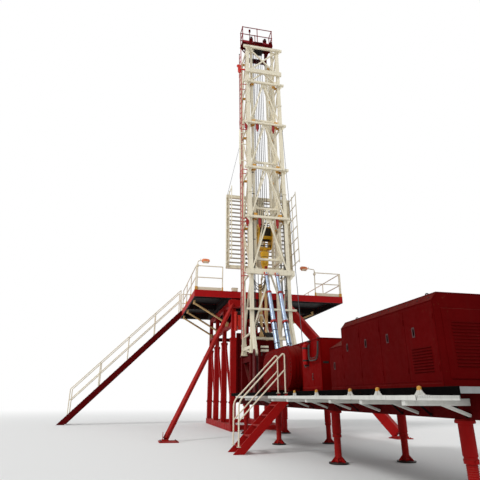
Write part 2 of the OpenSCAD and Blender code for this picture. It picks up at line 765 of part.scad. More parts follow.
module upper_mast_carrier_face() color(cream) on_mast() {
    xi = upper_x - inner_leg / 2;
    n = floor((upper_len - 300) / inner_panel);
    intersection() {
        for (k = [0 : n]) {
            w = upper_start + 150 + k * inner_panel;
            bar([-upper_x, upper_v1, w], [upper_x, upper_v1, w], 70, 90);
            if (k < n)
                for (s = [-1, 1])
                    bar([s * upper_x, upper_v1, w], [0, upper_v1, w + inner_panel], 60, 60);
        }
        block([-xi, 0, upper_start], [xi, upper_v2, upper_top]);
    }
}

module crown_frame() color(dark_red) on_mast() {
    w0 = upper_top + seat;
    for (s = [-1, 1]) {
        for (v = [upper_v1, upper_v2])
            block([s * upper_x - 60, v - 60, w0], [s * upper_x + 60, v + 60, plate_w - 140]);
        block([s * upper_x - 60, upper_v1 - 60, plate_w - 140], [s * upper_x + 60, crown_end, plate_w - 20]);
        block([s * upper_x - 60, upper_v1 - 60, sheave_w - 60], [s * upper_x + 60, upper_v2 + 60, sheave_w + 60]);
    }
    for (v = [upper_v1, crown_end - 60])
        block([-upper_x + 60, v - 60, plate_w - 140], [upper_x - 60, v + 60, plate_w - 20]);
    // Deep cross beams below the sheaves' guard and the walkway's bearers
    for (v = [upper_v1 - 45, upper_v2 - 15])
        block([-upper_x + 60, v, w0 + 60], [upper_x - 60, v + 60, w0 + 330]);
    for (v = [crown_near + 40, crown_near + crown_d - 120])
        block([-crown_w / 2 + 20, v, plate_w - 100], [-upper_x - 59, v + 80, plate_w - 20]);
    translate([-upper_x - 60, sheave_v, sheave_w]) rotate([0, 90, 0]) cylinder(d = 120, h = 2 * upper_x + 120);
}

// Outline of one grooved sheave, from its axle out, starting at height h.
function groove(h) = [[sheave_r - 60, h + sheave_t + 20], [sheave_r, h + sheave_t + 10],
    [sheave_r - 30, h + sheave_t / 2 + 10], [sheave_r, h + 10], [sheave_r - 60, h]];

module crown_sheaves() color(dark) on_mast() {
    pitch = sheave_t + 20;
    translate([-sheaves * pitch / 2, sheave_v, sheave_w]) rotate([0, 90, 0])
        rotate_extrude($fn = 48) polygon(concat([[60.4, 0], [60.4, sheaves * pitch]],
            [for (i = [sheaves - 1 : -1 : 0]) each groove(i * pitch)]));
    // Fast-line sheave and its hub
    translate([fast_x - pitch / 2, sheave_v, sheave_w]) rotate([0, 90, 0])
        rotate_extrude($fn = 48) polygon(concat([[60.4, 0], [60.4, -fast_x + pitch / 2 - sheaves * pitch / 2],
            [110, -fast_x + pitch / 2 - sheaves * pitch / 2], [110, pitch]], groove(0)));
}

module crown_platform() color(dark_red) on_mast() {
    block([-crown_w / 2, crown_near, plate_w - 20 + seat], [crown_w / 2, crown_near + crown_d, plate_w + 10]);
    // Stands of the two small line sheaves
    for (x = [-310, 480]) {
        block([x - 90, crown_near + 150, plate_w + 9], [x + 90, crown_near + 330, plate_w + 470]);
        translate([x - 40, crown_near + 240, plate_w + 500]) rotate([0, 90, 0]) cylinder(d = 300, h = 80, $fn = 32);
    }
    // Beacon post
    translate([-395, crown_near + 200, plate_w + 9]) cylinder(d = 40, h = 1000, $fn = 12);
    translate([-395, crown_near + 200, plate_w + 990]) cylinder(d = 110, h = 150, $fn = 16);
}

module crown_railing() color(dark_red) on_mast() {
    x = crown_w / 2 - 30;
    z = plate_w + 10 + seat;
    y0 = crown_near + 30;
    y1 = crown_near + crown_d - 30;
    rail_run([-x, y0, z], [x, y0, z], 3);
    rail_run([-x, y1, z], [x, y1, z], 3);
    rail_run([-x, y0, z], [-x, y1, z], 2);
    rail_run([x, y0, z], [x, y1, z], 2);
}

module drill_lines() color(dark) on_mast() {
    for (i = [-2 : 1])
        for (s = [-1, 1])
            translate([i * (sheave_t + 20), sheave_v + s * line_v, block_w])
                cylinder(d = line_d, h = sheave_w - block_w, $fn = 8);
}

module racking_stays() color(dark) on_mast() {
    for (s = [-1, 1])
        rod([s * upper_x, board_v + 60, stay_w - 52], [s * (board_w / 2 - 60), board_v + 60, board_hinge + board_l + 10], 16);
}

module travelling_block() color(yellow) on_mast() {
    difference() {
        union() {
            for (s = [-1, 1])
                translate([s * block_x / 2 - 20, sheave_v, 0]) rotate([90, 0, 90]) linear_extrude(40)
                    polygon([[-180, block_w - 750], [180, block_w - 750], [360, block_w - 300], [360, block_w + 200],
                        [200, block_w + 420], [-200, block_w + 420], [-360, block_w + 200], [-360, block_w - 300]]);
            block([-block_x / 2, sheave_v - 160, block_w - 750], [block_x / 2, sheave_v + 160, block_w - 500]);
            translate([-block_x / 2, sheave_v, block_w]) rotate([0, 90, 0]) cylinder(r = line_v - line_d / 2 - seat, h = block_x, $fn = 48);
            translate([-block_x / 2 - 45, sheave_v, block_w]) rotate([0, 90, 0]) cylinder(r = 90, h = block_x + 90, $fn = 32);
        }
    }
}

module hook() color(yellow) on_mast() {
    // Body, swivelling neck and the forged hook with its safety pin
    translate([0, sheave_v, block_w - 870]) cylinder(d = 260, h = 120 - seat);
    translate([0, sheave_v, block_w - 1000]) cylinder(d = 400, h = 131);
    translate([0, sheave_v, block_w - 1500]) cylinder(d = 340, h = 501);
    translate([-90, sheave_v - 150, block_w - 1700]) cube([180, 300, 201]);
    translate([0, sheave_v + 130, block_w - 1620]) rotate([90, 0, 0]) cylinder(d = 120, h = 300, $fn = 32);
}

module swivel_stem() color(tan_paint) on_mast()
    translate([0, sheave_v, 100]) cylinder(d = 160, h = block_w - 1800 - seat);

module racking_platform() color(cream) on_mast() {
    difference() {
        block([-board_w / 2, board_v, board_hinge], [board_w / 2, board_v + 120, board_hinge + board_l]);
        block([-board_w / 2 + 150, board_v - 10, board_hinge + 150], [board_w / 2 - 150, board_v + 130, board_hinge + board_l - 150]);
    }
    block([-300, board_v, board_hinge + 100], [300, board_v + 120, board_hinge + board_l - 100]);
    // Hinge ears and pins under the board's lower beam
    for (s = [-1, 1]) {
        for (x = [s * upper_x - 75, s * upper_x + 45])
            translate([x, board_v + 60, 0]) {
                block([0, -50, board_hinge - 70], [30, 50, board_hinge + 20]);
                translate([0, 0, board_hinge - 70]) rotate([0, 90, 0]) cylinder(r = 50, h = 30, $fn = 32);
            }
        translate([s * upper_x - 60, board_v + 60, board_hinge - 70]) rotate([0, 90, 0]) cylinder(r = 25, h = 120, $fn = 32);
    }
}

module racking_side(s) on_mast() {
    v = board_v - seat;
    x = s * board_w / 2;
    for (i = [0 : fingers - 1]) {
        w = board_hinge + 200 + (board_l - 400) * i / (fingers - 1);
        rod([x - s * 30, v, w], [x - s * 30, v - rail_h, w], 40);
    }
    rod([x - s * 30, v - rail_h, board_hinge + 100], [x - s * 30, v - rail_h, board_hinge + board_l - 100], 40);
    rod([x - s * 30, v - rail_h / 2, board_hinge + 100], [x - s * 30, v - rail_h / 2, board_hinge + board_l - 100], 40);
}

module racking_left_side() color(cream) racking_side(-1);
module racking_right_side() color(cream) racking_side(1);

base_beams();
left_column_frame();
right_column_frame();
front_cross_frame();
front_panel();
back_cross_frame();
raker_legs();
floor_centre();
floor_left_wing();
floor_right_wing();
wing_struts();
left_wing_railing();
right_wing_railing();
back_railing();
rotary_table();
floodlights();
stair_stringers();
stair_treads();
stair_handrails();
mast_base();
mast_pedestal();
skid_frame();
skid_deck();
levelling_jacks();
drawworks();
drum_guard();
fluid_tank();
low_housing();
engine_housing();
side_walkway();
boarding_stair();
boarding_handrails();
cylinder_foot();
lower_mast_left_side();
lower_mast_right_side();
lower_mast_carrier_face();
mast_guide_pads();
mast_latches();
mast_ladder();
fast_line();
upper_mast_left_side();
upper_mast_right_side();
upper_mast_carrier_face();
crown_frame();
crown_platform();
crown_railing();
crown_sheaves();
drill_lines();
racking_stays();
travelling_block();
hook();
swivel_stem();
racking_platform();
racking_left_side();
racking_right_side();
cylinder_barrels();
cylinder_stage_1();
cylinder_stage_2();
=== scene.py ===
"""Looks of the drilling rig: camera, light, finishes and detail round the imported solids."""
import math
from itertools import product

import bmesh
import bpy
import numpy as np
from mathutils import Matrix, Vector


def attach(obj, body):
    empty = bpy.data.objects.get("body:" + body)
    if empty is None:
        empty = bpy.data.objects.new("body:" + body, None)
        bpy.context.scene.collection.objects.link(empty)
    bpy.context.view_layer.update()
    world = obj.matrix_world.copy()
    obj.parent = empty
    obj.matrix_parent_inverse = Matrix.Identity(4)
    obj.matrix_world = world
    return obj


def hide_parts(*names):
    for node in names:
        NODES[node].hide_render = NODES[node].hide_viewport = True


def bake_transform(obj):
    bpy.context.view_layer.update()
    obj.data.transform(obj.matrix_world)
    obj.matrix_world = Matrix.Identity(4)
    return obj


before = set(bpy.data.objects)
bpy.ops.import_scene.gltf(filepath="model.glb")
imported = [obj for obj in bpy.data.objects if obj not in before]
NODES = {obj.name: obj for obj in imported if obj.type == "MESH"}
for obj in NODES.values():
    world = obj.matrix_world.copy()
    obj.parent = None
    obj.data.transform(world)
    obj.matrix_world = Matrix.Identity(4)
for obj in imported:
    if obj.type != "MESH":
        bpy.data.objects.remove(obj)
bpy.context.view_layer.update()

# ---------------------------------------------------------------- sizes (metres), as in the source
SIDES = (-1, 1)
X, Y, Z = (1, 0, 0), (0, 1, 0), (0, 0, 1)  # axes
LEAN = math.radians(3)
MAST_BACK, FOOT_Z = 3.330, 3.400
LX, MAST_D, LEG = 0.800, 1.450, 0.150
LEG_IN, LEG_OUT = LX - LEG / 2, LX + LEG / 2
FIRST, PANEL, GIRTS, LOWER = 2.750, 2.500, 5, 15.170
UPPER_X, UP_V1, UP_V2, UP_START, UP_TOP = 0.565, 0.165, 1.285, 3.250, 15.300
INNER_LEG, INNER_PANEL = 0.110, 2.400
SHEAVE_V, SHEAVE_W, PLATE_W = 0.725, 15.846, 16.350
BLOCK_W = 4.800
BOARD_V, BOARD_W0, BOARD_L, BOARD_HALF = 1.605, 3.400, 3.700, 1.565
CROWN_NEAR, CROWN_D, CROWN_HALF = 0.810, 0.560, 0.870
FLOOR_Z, FLOOR_T, FRONT_Y, BACK_Y, LEFT_X = 5.780, 0.300, -0.980, 5.600, -2.870
FLOOR_UNDER, RAIL_Y, RAIL_H = FLOOR_Z - FLOOR_T, FRONT_Y + 0.040, 1.120
COL_X, COL, BASE_H, COL_Y0, COLUMNS = 1.050, 0.180, 0.250, -0.880, 4
COL_PITCH = (BACK_Y - 0.100 - COL_Y0 - COL) / (COLUMNS - 1)
DECK_Z, DECK_X, DECK_BACK, DECK_FRONT = 1.450, 1.250, -15.830, -1.530
TANK_Y, RECESS_Y, LOW_Y, ENGINE_Y, SKID_END = -9.350, -10.150, -11.850, -12.500, -15.530
STAIR_Y, STAIR_W, RISERS = 4.650, 0.800, 25
FOOT_PIN = Vector((0, -4.970, 2.600))
CYL_X = 0.230

ON_MAST = Matrix.Translation((0, -MAST_BACK, FOOT_Z)) @ Matrix.Rotation(-LEAN, 4, "X")

# The photo's camera: its place and turn in the row frame, its focal length and shift in pixels of the photo
EYE = Vector((-5.257, -21.218, 1.314))
YAW, PITCH, ROLL = math.radians(12.4), math.radians(21.81), math.radians(0.28)
PHOTO, FOCAL, SHIFT = 480, 457.3, -26
SENSOR, FARTHEST = 36, 500


def on_mast(x, v, w):
    """A point of the leaning mast's own frame, in the row frame."""
    return ON_MAST @ Vector((x, v, w))


def placed(name, data):
    """A new object, linked to the scene."""
    obj = bpy.data.objects.new(name, data)
    bpy.context.scene.collection.objects.link(obj)
    return obj


# ---------------------------------------------------------------- camera
def make_camera():
    forward = Vector((math.sin(YAW) * math.cos(PITCH), math.cos(YAW) * math.cos(PITCH), math.sin(PITCH)))
    right = Vector((math.cos(YAW), -math.sin(YAW), 0))
    up = right.cross(forward)
    right, up = right * math.cos(ROLL) + up * math.sin(ROLL), up * math.cos(ROLL) - right * math.sin(ROLL)
    data = bpy.data.cameras.new("camera")
    data.sensor_width = SENSOR
    data.lens = FOCAL / PHOTO * SENSOR
    data.shift_y = SHIFT / PHOTO
    data.clip_end = FARTHEST
    cam = placed("camera", data)
    m = Matrix((right, up, -forward)).transposed().to_4x4()
    m.translation = EYE
    cam.matrix_world = m
    bpy.context.scene.camera = cam


# ---------------------------------------------------------------- node helpers
def srgb(r, g, b):
    """0-255 display colour to linear."""
    return tuple(c / 255 / 12.92 if c <= 10 else ((c / 255 + 0.055) / 1.055) ** 2.4 for c in (r, g, b)) + (1.0,)


def scaled(colour, k):
    return tuple(min(1.0, c * k) for c in colour[:3]) + (1.0,)


RUST, DUST, GREASE = srgb(98, 52, 32), srgb(150, 136, 118), srgb(44, 38, 32)
ROPE_GREASE, HOSE_DUST, LENS_DUST = srgb(60, 42, 28), srgb(96, 88, 78), srgb(120, 112, 100)
RUN_OFF = (0.035, 0.026, 0.02)


class Graph:
    """Short calls for building a node tree."""

    def __init__(self, owner, output="OutputMaterial"):
        owner.use_nodes = True
        self.owner, self.tree = owner, owner.node_tree
        self.tree.nodes.clear()
        self.out = self.node(output).inputs[0]

    @classmethod
    def material(cls, name):
        g = cls(bpy.data.materials.new(name))
        coord = g.node("TexCoord").outputs
        g.place, g.normal = coord["Object"], coord["Normal"]
        return g

    def node(self, kind, values=None, **settings):
        """A node; values go to its inputs, by number or name."""
        n = self.tree.nodes.new("ShaderNode" + kind)
        for key, value in settings.items():
            setattr(n, key, value)
        for key, value in (values or {}).items():
            if isinstance(value, bpy.types.NodeSocket):
                self.tree.links.new(value, n.inputs[key])
            else:
                n.inputs[key].default_value = value
        return n

    def show(self, node):
        self.tree.links.new(node.outputs[0], self.out)

    def noise(self, scale, detail, rough, vector=None):
        values = {"Scale": scale, "Detail": detail, "Roughness": rough, "Vector": vector or self.place}
        return self.node("TexNoise", values).outputs["Fac"]

    def stretch(self, x, y, z):
        return self.node("Mapping", {"Vector": self.place, "Scale": (x, y, z)}).outputs["Vector"]

    def ramp(self, value, low, high, a=0.0, b=1.0):
        values = {"Value": value, "From Min": low, "From Max": high, "To Min": a, "To Max": b}
        return self.node("MapRange", values, clamp=True, interpolation_type="SMOOTHSTEP").outputs["Result"]

    def math(self, op, a, b=0.0):
        return self.node("Math", {0: a, 1: b}, operation=op).outputs[0]

    def times(self, a, b):
        return self.math("MULTIPLY", a, b)

    def plus(self, a, b):
        return self.math("ADD", a, b)

    def wave(self, value, pitch):
        return self.math("SINE", self.times(value, pitch))

    def mix(self, fac, a, b):
        return self.node("Mix", {0: fac, 6: a, 7: b}, data_type="RGBA").outputs[2]

    def split(self, vector):
        return self.node("SeparateXYZ", {0: vector}).outputs

    def inside(self, lo, hi):
        """1 within a box of the object's own frame."""
        mask = 1.0
        for value, a, b in zip(self.split(self.place), lo, hi):
            mask = self.times(self.times(self.math("GREATER_THAN", value, a), self.math("LESS_THAN", value, b)), mask)
        return mask

    def finish(self, colour, rough, height, strength, depth, metallic=0.0, specular=0.3, coat=0.0):
        """The material's surface, with height as its bumps."""
        bump = self.node("Bump", {"Strength": strength, "Distance": depth, "Height": height})
        self.show(self.node("BsdfPrincipled", {
            "Base Color": colour, "Roughness": rough, "Metallic": metallic, "Specular IOR Level": specular,
            "Coat Weight": coat, "Normal": bump.outputs["Normal"]}))
        return self.owner


def paint(name, rgb, rough, grime, rust, dust, under=None, tread=False, coat=0.0, fade=0.12, specular=0.3, zones=()):
    """Weathered machine paint: faded patches, run-off streaks, rust at chips, dust on what faces up.

    under is painted shade: the colour given to what faces down; zones are boxes of the object's own frame in another
    colour.
    """
    g = Graph.material(name)
    base = srgb(*rgb)
    patch, mottle = g.noise(0.8, 5, 0.6), g.noise(11, 5, 0.65)
    tone = g.ramp(patch, 0.30, 0.72)
    colour = g.mix(tone, scaled(base, 1 - fade), scaled(base, 1 + fade))
    colour = g.mix(g.ramp(mottle, 0.35, 0.75, 0.0, 0.35), colour, scaled(base, 0.80))
    other = 0.0
    for lo, hi, zone in zones:
        mask = g.inside(lo, hi)
        colour = g.mix(mask, colour, g.mix(tone, scaled(srgb(*zone), 0.88), scaled(srgb(*zone), 1.12)))
        other = g.math("MAXIMUM", mask, other)
    run = g.noise(1.0, 5, 0.6, g.stretch(9, 9, 0.55))
    streak = g.times(g.ramp(run, 0.50, 0.74), g.ramp(patch, 0.35, 0.65, 0.25, 1.0))
    soil = tuple(0.42 * c + 0.58 * d for c, d in zip(base, RUN_OFF)) + (1.0,)
    colour = g.mix(g.times(streak, grime), colour, soil)
    chip = g.times(g.ramp(g.noise(24, 7, 0.62), 0.615, 0.655), g.ramp(g.noise(1.7, 3, 0.5), 0.48, 0.62))
    chip = g.times(chip, rust)
    colour = g.mix(chip, colour, RUST)
    facing = g.split(g.normal)[2]
    top = g.times(g.ramp(facing, 0.35, 0.95), g.ramp(g.noise(3.2, 6, 0.7), 0.30, 0.70, 0.25, 1.0))
    colour = g.mix(g.times(top, dust), colour, DUST)
    # Painted shade: what faces down takes the under colour
    if under:
        colour = g.mix(g.ramp(facing, -0.35, -0.75), colour, srgb(*under))
    height = g.plus(g.times(g.noise(70, 3, 0.5), 0.35), g.times(mottle, 0.6))
    height = g.math("SUBTRACT", height, g.times(chip, 0.9))
    if tread:
        x, y, _ = g.split(g.place)
        lozenge = g.ramp(g.times(g.wave(g.plus(x, y), 75.0), g.wave(g.math("SUBTRACT", x, y), 75.0)), 0.35, 0.6)
        height = g.plus(height, g.times(g.times(lozenge, g.ramp(facing, 0.8, 0.95)), 1.6))
    roughness = g.plus(g.ramp(mottle, 0.3, 0.75, rough - 0.09, rough + 0.12), g.times(chip, 0.35))
    roughness = g.plus(roughness, g.times(top, 0.2))
    if zones:
        roughness = g.plus(roughness, g.times(other, 0.25))
    return g.finish(colour, roughness, height, 0.45, 0.004, specular=specular, coat=coat)


def metal(name, rgb, rough, wear, soil, metallic=1.0, grain=(1, 1, 1)):
    """Bare or plated metal with a directional grain, greasy patches and dull spots."""
    g = Graph.material(name)
    base = srgb(*rgb)
    grained = g.noise(40, 4, 0.6, g.stretch(*grain))
    colour = g.mix(g.ramp(g.noise(2.3, 5, 0.6), 0.3, 0.7, 0, wear), base, scaled(base, 0.72))
    grease = g.times(g.ramp(g.noise(6, 5, 0.6), 0.52, 0.68), soil)
    roughness = g.plus(g.ramp(grained, 0.3, 0.7, rough - 0.07, rough + 0.09), g.times(grease, 0.3))
    return g.finish(g.mix(grease, colour, GREASE), roughness, grained, 0.25, 0.0015, metallic=metallic)


def rope(name, rgb, rough, metallic):
    """Laid wire rope: strands as slanting ridges, the hollows between them darkened as painted shade, with greasy
    patches.
    """
    g = Graph.material(name)
    base, pitch = srgb(*rgb), 70.0
    x, y, z = g.split(g.place)
    turn = g.plus(g.times(z, pitch * 2), g.times(g.plus(x, y), pitch * 3))
    ridge = g.ramp(g.math("SINE", turn), -0.6, 0.9)
    # Painted shade: the hollows between the strands are darkened
    colour = g.mix(ridge, scaled(base, 0.45), base)
    colour = g.mix(g.ramp(g.noise(3, 4, 0.6), 0.45, 0.7, 0, 0.5), colour, ROPE_GREASE)
    roughness = g.ramp(g.noise(9, 3, 0.5), 0.3, 0.7, rough - 0.1, rough + 0.15)
    return g.finish(colour, roughness, ridge, 0.6, 0.004, metallic=metallic)


def rubber(name, rgb):
    """Hose rubber: dull, dusty, with a faint wrap."""
    g = Graph.material(name)
    x, y, z = g.split(g.place)
    wrap = g.wave(g.plus(z, g.times(g.plus(x, y), 0.6)), 190.0)
    colour = g.mix(g.ramp(g.noise(4, 6, 0.65), 0.4, 0.7, 0, 0.45), srgb(*rgb), HOSE_DUST)
    return g.finish(colour, g.ramp(g.noise(14, 3, 0.5), 0.3, 0.7, 0.55, 0.8), wrap, 0.25, 0.002, specular=0.35)


def glass_lens(name, rgb):
    """Ribbed lamp glass, a little dusty."""
    g = Graph.material(name)
    prism = g.wave(g.split(g.place)[2], 260.0)
    colour = g.mix(g.ramp(g.noise(8, 4, 0.6), 0.4, 0.7, 0, 0.4), srgb(*rgb), LENS_DUST)
    return g.finish(colour, g.ramp(g.noise(20, 3, 0.5), 0.3, 0.7, 0.12, 0.3), prism, 0.3, 0.002, coat=0.5)


DARK_BASE = (82, 7, 10)  # the mast's base below its feet, and its carrier side
MAT = {
    # material, colour, then roughness, grime, rust and dust
    "red": paint("rig_red", (152, 15, 14), 0.56, 0.32, 0.45, 0.16, specular=0.08),
    # Painted shade: the floor's undersides and its under-frame behind the fascia (the zone box) are near black, for
    # the shadow under the drill floor
    "floor_red": paint("floor_red", (170, 16, 19), 0.58, 0.32, 0.45, 0.3, under=(22, 17, 17), tread=True,
                       specular=0.1, zones=[((-2.820, -0.920, 5.0), (4.180, 5.560, 5.755), (24, 18, 18))]),
    # Painted shade: the machinery's reds are darkened to the shade it stood in, deeper than the rig's own red
    "machine_red": paint("machine_red", (84, 4, 5), 0.65, 0.16, 0.3, 0.12, specular=0.015),
    "tank_red": paint("tank_red", (112, 5, 5), 0.62, 0.18, 0.35, 0.12, specular=0.015),
    "guard_red": paint("guard_red", (104, 5, 4), 0.62, 0.15, 0.3, 0.12, specular=0.015),
    "crown_red": paint("crown_red", (132, 24, 36), 0.55, 0.4, 0.5, 0.15, specular=0.12),
    # Painted shade: near black, for the shadow along the deck's edge
    "shade_black": paint("shade_black", (9, 8, 8), 0.8, 0.2, 0.3, 0.06, specular=0.01),
    "dark_red": paint("dark_red", (82, 6, 8), 0.65, 0.22, 0.4, 0.14, specular=0.02),
    "cream": paint("mast_cream", (231, 222, 198), 0.45, 0.42, 0.75, 0.15, fade=0.06),
    "base_paint": paint("mast_base_paint", (231, 222, 198), 0.5, 0.45, 0.75, 0.15, fade=0.06, specular=0.2,
                        zones=[((-9, -9, 0), (9, 9, 2.889), DARK_BASE), ((-9, -9, 0), (9, -3.600, 9), DARK_BASE)]),
    "rail_cream": paint("rail_cream", (226, 214, 190), 0.45, 0.4, 0.8, 0.15, fade=0.08),
    "tan": paint("tan_paint", (208, 172, 118), 0.5, 0.4, 0.5, 0.2),
    "ochre": paint("ochre_paint", (206, 150, 62), 0.5, 0.4, 0.6, 0.2),
    "yellow": paint("block_yellow", (222, 168, 22), 0.34, 0.5, 0.4, 0.15, coat=0.2),
    "grey": paint("deck_grey", (136, 138, 138), 0.55, 0.5, 0.8, 0.3, tread=True),
    "pink": paint("ladder_red", (192, 98, 92), 0.5, 0.35, 0.6, 0.15),
    "orange": paint("lamp_orange", (226, 134, 88), 0.38, 0.3, 0.3, 0.2),
    "latch_red": paint("latch_red", (196, 38, 22), 0.45, 0.4, 0.4, 0.15),
    "collar_red": paint("collar_red", (150, 24, 22), 0.45, 0.4, 0.3, 0.15),
    "tan_grey": paint("swivel_tan", (176, 160, 128), 0.5, 0.5, 0.7, 0.2),
    "latch_grey": paint("latch_grey", (86, 62, 62), 0.6, 0.25, 0.3, 0.12, specular=0.04),
    "pipe_grey": paint("pipe_grey", (112, 112, 108), 0.5, 0.45, 0.7, 0.15),
    "finger_grey": paint("finger_cream", (168, 160, 144), 0.55, 0.5, 0.8, 0.2),
    "white": paint("gusset_white", (206, 206, 200), 0.5, 0.4, 0.6, 0.25),
    "dark_grey": paint("band_dark", (44, 42, 42), 0.6, 0.4, 0.6, 0.4),
    # material, colour, then roughness, wear and soil
    "silver": metal("cylinder_silver", (150, 164, 184), 0.42, 0.35, 0.2, grain=(1, 1, 0.05)),
    "steel": metal("bare_steel", (150, 150, 150), 0.4, 0.5, 0.35),
    "iron": metal("dark_iron", (52, 49, 47), 0.5, 0.5, 0.6, metallic=0.7),
    "sheave_iron": metal("sheave_iron", (78, 70, 58), 0.42, 0.6, 0.6, metallic=0.8),
    # material, colour, then roughness and metallic share
    "rope": rope("wire_rope", (92, 92, 96), 0.6, 0.6),
    "greased": rope("greased_rope", (40, 40, 44), 0.55, 0.4),
    "rubber": rubber("hose_rubber", (30, 29, 28)),
    "lens": glass_lens("lamp_lens", (238, 226, 196)),
}

CAD_FINISH = {
    "red": ["base_beams", "left_column_frame", "right_column_frame", "raker_legs", "levelling_jacks",
            "boarding_stair"],
    "floor_red": ["floor_centre", "floor_left_wing", "floor_right_wing"],
    "machine_red": ["drum_guard", "low_housing", "engine_housing"],
    "tank_red": ["fluid_tank"],
    "dark_red": ["front_cross_frame", "front_panel", "mast_pedestal", "back_cross_frame", "stair_stringers",
                 "skid_frame", "drawworks", "cylinder_foot", "crown_frame", "crown_platform"],
    "crown_red": ["crown_railing"],
    "base_paint": ["mast_base"],
    "cream": ["lower_mast_left_side", "lower_mast_right_side", "lower_mast_carrier_face",
              "upper_mast_left_side", "upper_mast_right_side", "upper_mast_carrier_face", "racking_platform",
              "racking_left_side", "racking_right_side"],
    "rail_cream": ["left_wing_railing", "right_wing_railing", "back_railing", "stair_handrails",
                   "boarding_handrails"],
    "tan": ["wing_struts", "swivel_stem"],
    "ochre": ["mast_guide_pads"],
    "yellow": ["travelling_block", "hook"],
    "grey": ["skid_deck", "side_walkway", "stair_treads"],
    "pink": ["mast_ladder"],
    "orange": ["floodlights"],
    "silver": ["cylinder_barrels", "cylinder_stage_1", "cylinder_stage_2"],
    "iron": ["rotary_table", "crown_sheaves"],
    "greased": ["fast_line", "drill_lines"],
    "rope": ["racking_stays"],
    "collar_red": ["mast_latches"],
}


def dress_cad():
    for finish, names in CAD_FINISH.items():
        for name in names:
            if name in NODES:
                slots = NODES[name].data.materials
                slots.clear()
                slots.append(MAT[finish])


# ---------------------------------------------------------------- mesh helpers
def around(n, r, start=0.0):
    """Points evenly round a circle."""
    angles = [2 * math.pi * i / n + start for i in range(n)]
    return [(r * math.cos(a), r * math.sin(a)) for a in angles]


def repeated(n, pitch, section):
    """A profile that repeats its section n times, pitch apart."""
    return [(t + i * pitch, r) for i in range(n) for t, r in section]


def chamfered(lo, hi, c):
    """Corners and faces of a box with its edges cut back by c."""
    mid = [(a + b) / 2 for a, b in zip(lo, hi)]
    half = [abs(b - a) / 2 for a, b in zip(lo, hi)]
    c = min(c, 0.45 * min(half))
    corners = list(product(SIDES, repeat=3))
    # Three points at a corner, one in the face across each axis
    index = {key: i for i, key in enumerate(product(corners, range(3)))}
    verts = [tuple(mid[i] + s[i] * (half[i] - (0 if i == axis else c)) for i in range(3)) for s, axis in index]
    faces = []
    for axis in range(3):
        j, k = (axis + 1) % 3, (axis + 2) % 3

        def corner(s, a, b):
            t = [0, 0, 0]
            t[axis], t[j], t[k] = s, a, b
            return tuple(t)

        for s in SIDES:
            face = [index[corner(s, a, b), axis] for a, b in ((-1, -1), (1, -1), (1, 1), (-1, 1))]
            faces.append(face if s > 0 else face[::-1])
        for a, b in product(SIDES, SIDES):
            low, high = corner(-1, a, b), corner(1, a, b)
            faces.append([index[low, j], index[high, j], index[high, k], index[low, k]])
    faces += [[index[s, axis] for axis in range(3)] for s in corners]
    return verts, faces


def skinned(n, rings, closed=False):
    """Faces over rings of n points each: capped at both ends, or joined end to end."""
    faces = [[k * n + i, k * n + (i + 1) % n, (k + 1) % rings * n + (i + 1) % n, (k + 1) % rings * n + i]
             for k in range(rings if closed else rings - 1) for i in range(n)]
    if not closed:
        faces += [list(range(n))[::-1], [(rings - 1) * n + i for i in range(n)]]
    return faces


def along(a, b, up=Z):
    """Frame at a with z towards b."""
    a, b = Vector(a), Vector(b)
    z = (b - a).normalized()
    u = Vector(up)
    if abs(z.dot(u)) > 0.98:
        u = Vector(Y)
    x = u.cross(z).normalized()
    m = Matrix((x, z.cross(x), z)).transposed().to_4x4()
    m.translation = a
    return m


def upright(x, y, z, mirror=1):
    """Frame of a plate that stands across Y, its outline in X and Z; -1 mirrors it in X."""
    return Matrix(((mirror, 0, 0, x), (0, 0, -1, y), (0, 1, 0, z), (0, 0, 0, 1)))


def sideways(x, y, z, mirror=1, normal=1):
    """Frame of a plate that stands across X, its outline in Y and Z; -1 mirrors it in Y, or in its thickness."""
    return Matrix(((0, 0, normal, x), (mirror, 0, 0, y), (0, 1, 0, z), (0, 0, 0, 1)))


def bent(points, radius, steps=5):
    """The points' path with its corners rounded."""
    points = [Vector(p) for p in points]
    path = [points[0]]
    for p, q, r in zip(points, points[1:], points[2:]):
        d0, d1 = (p - q), (r - q)
        t = min(radius, 0.48 * d0.length, 0.48 * d1.length)
        a, b = q + d0.normalized() * t, q + d1.normalized() * t
        for i in range(steps + 1):
            u = i / steps
            path.append(a * (1 - u) ** 2 + q * 2 * u * (1 - u) + b * u * u)
    path.append(points[-1])
    return path


def rounded(outline, times=2):
    """An outline with its corners cut again and again, until they look round."""
    for _ in range(times):
        pairs = zip(outline, outline[1:] + outline[:1])
        outline = [(p[0] * k + q[0] * (1 - k), p[1] * k + q[1] * (1 - k)) for p, q in pairs for k in (0.75, 0.25)]
    return outline


SHARP = math.radians(35)  # edges that turn more than this show as edges


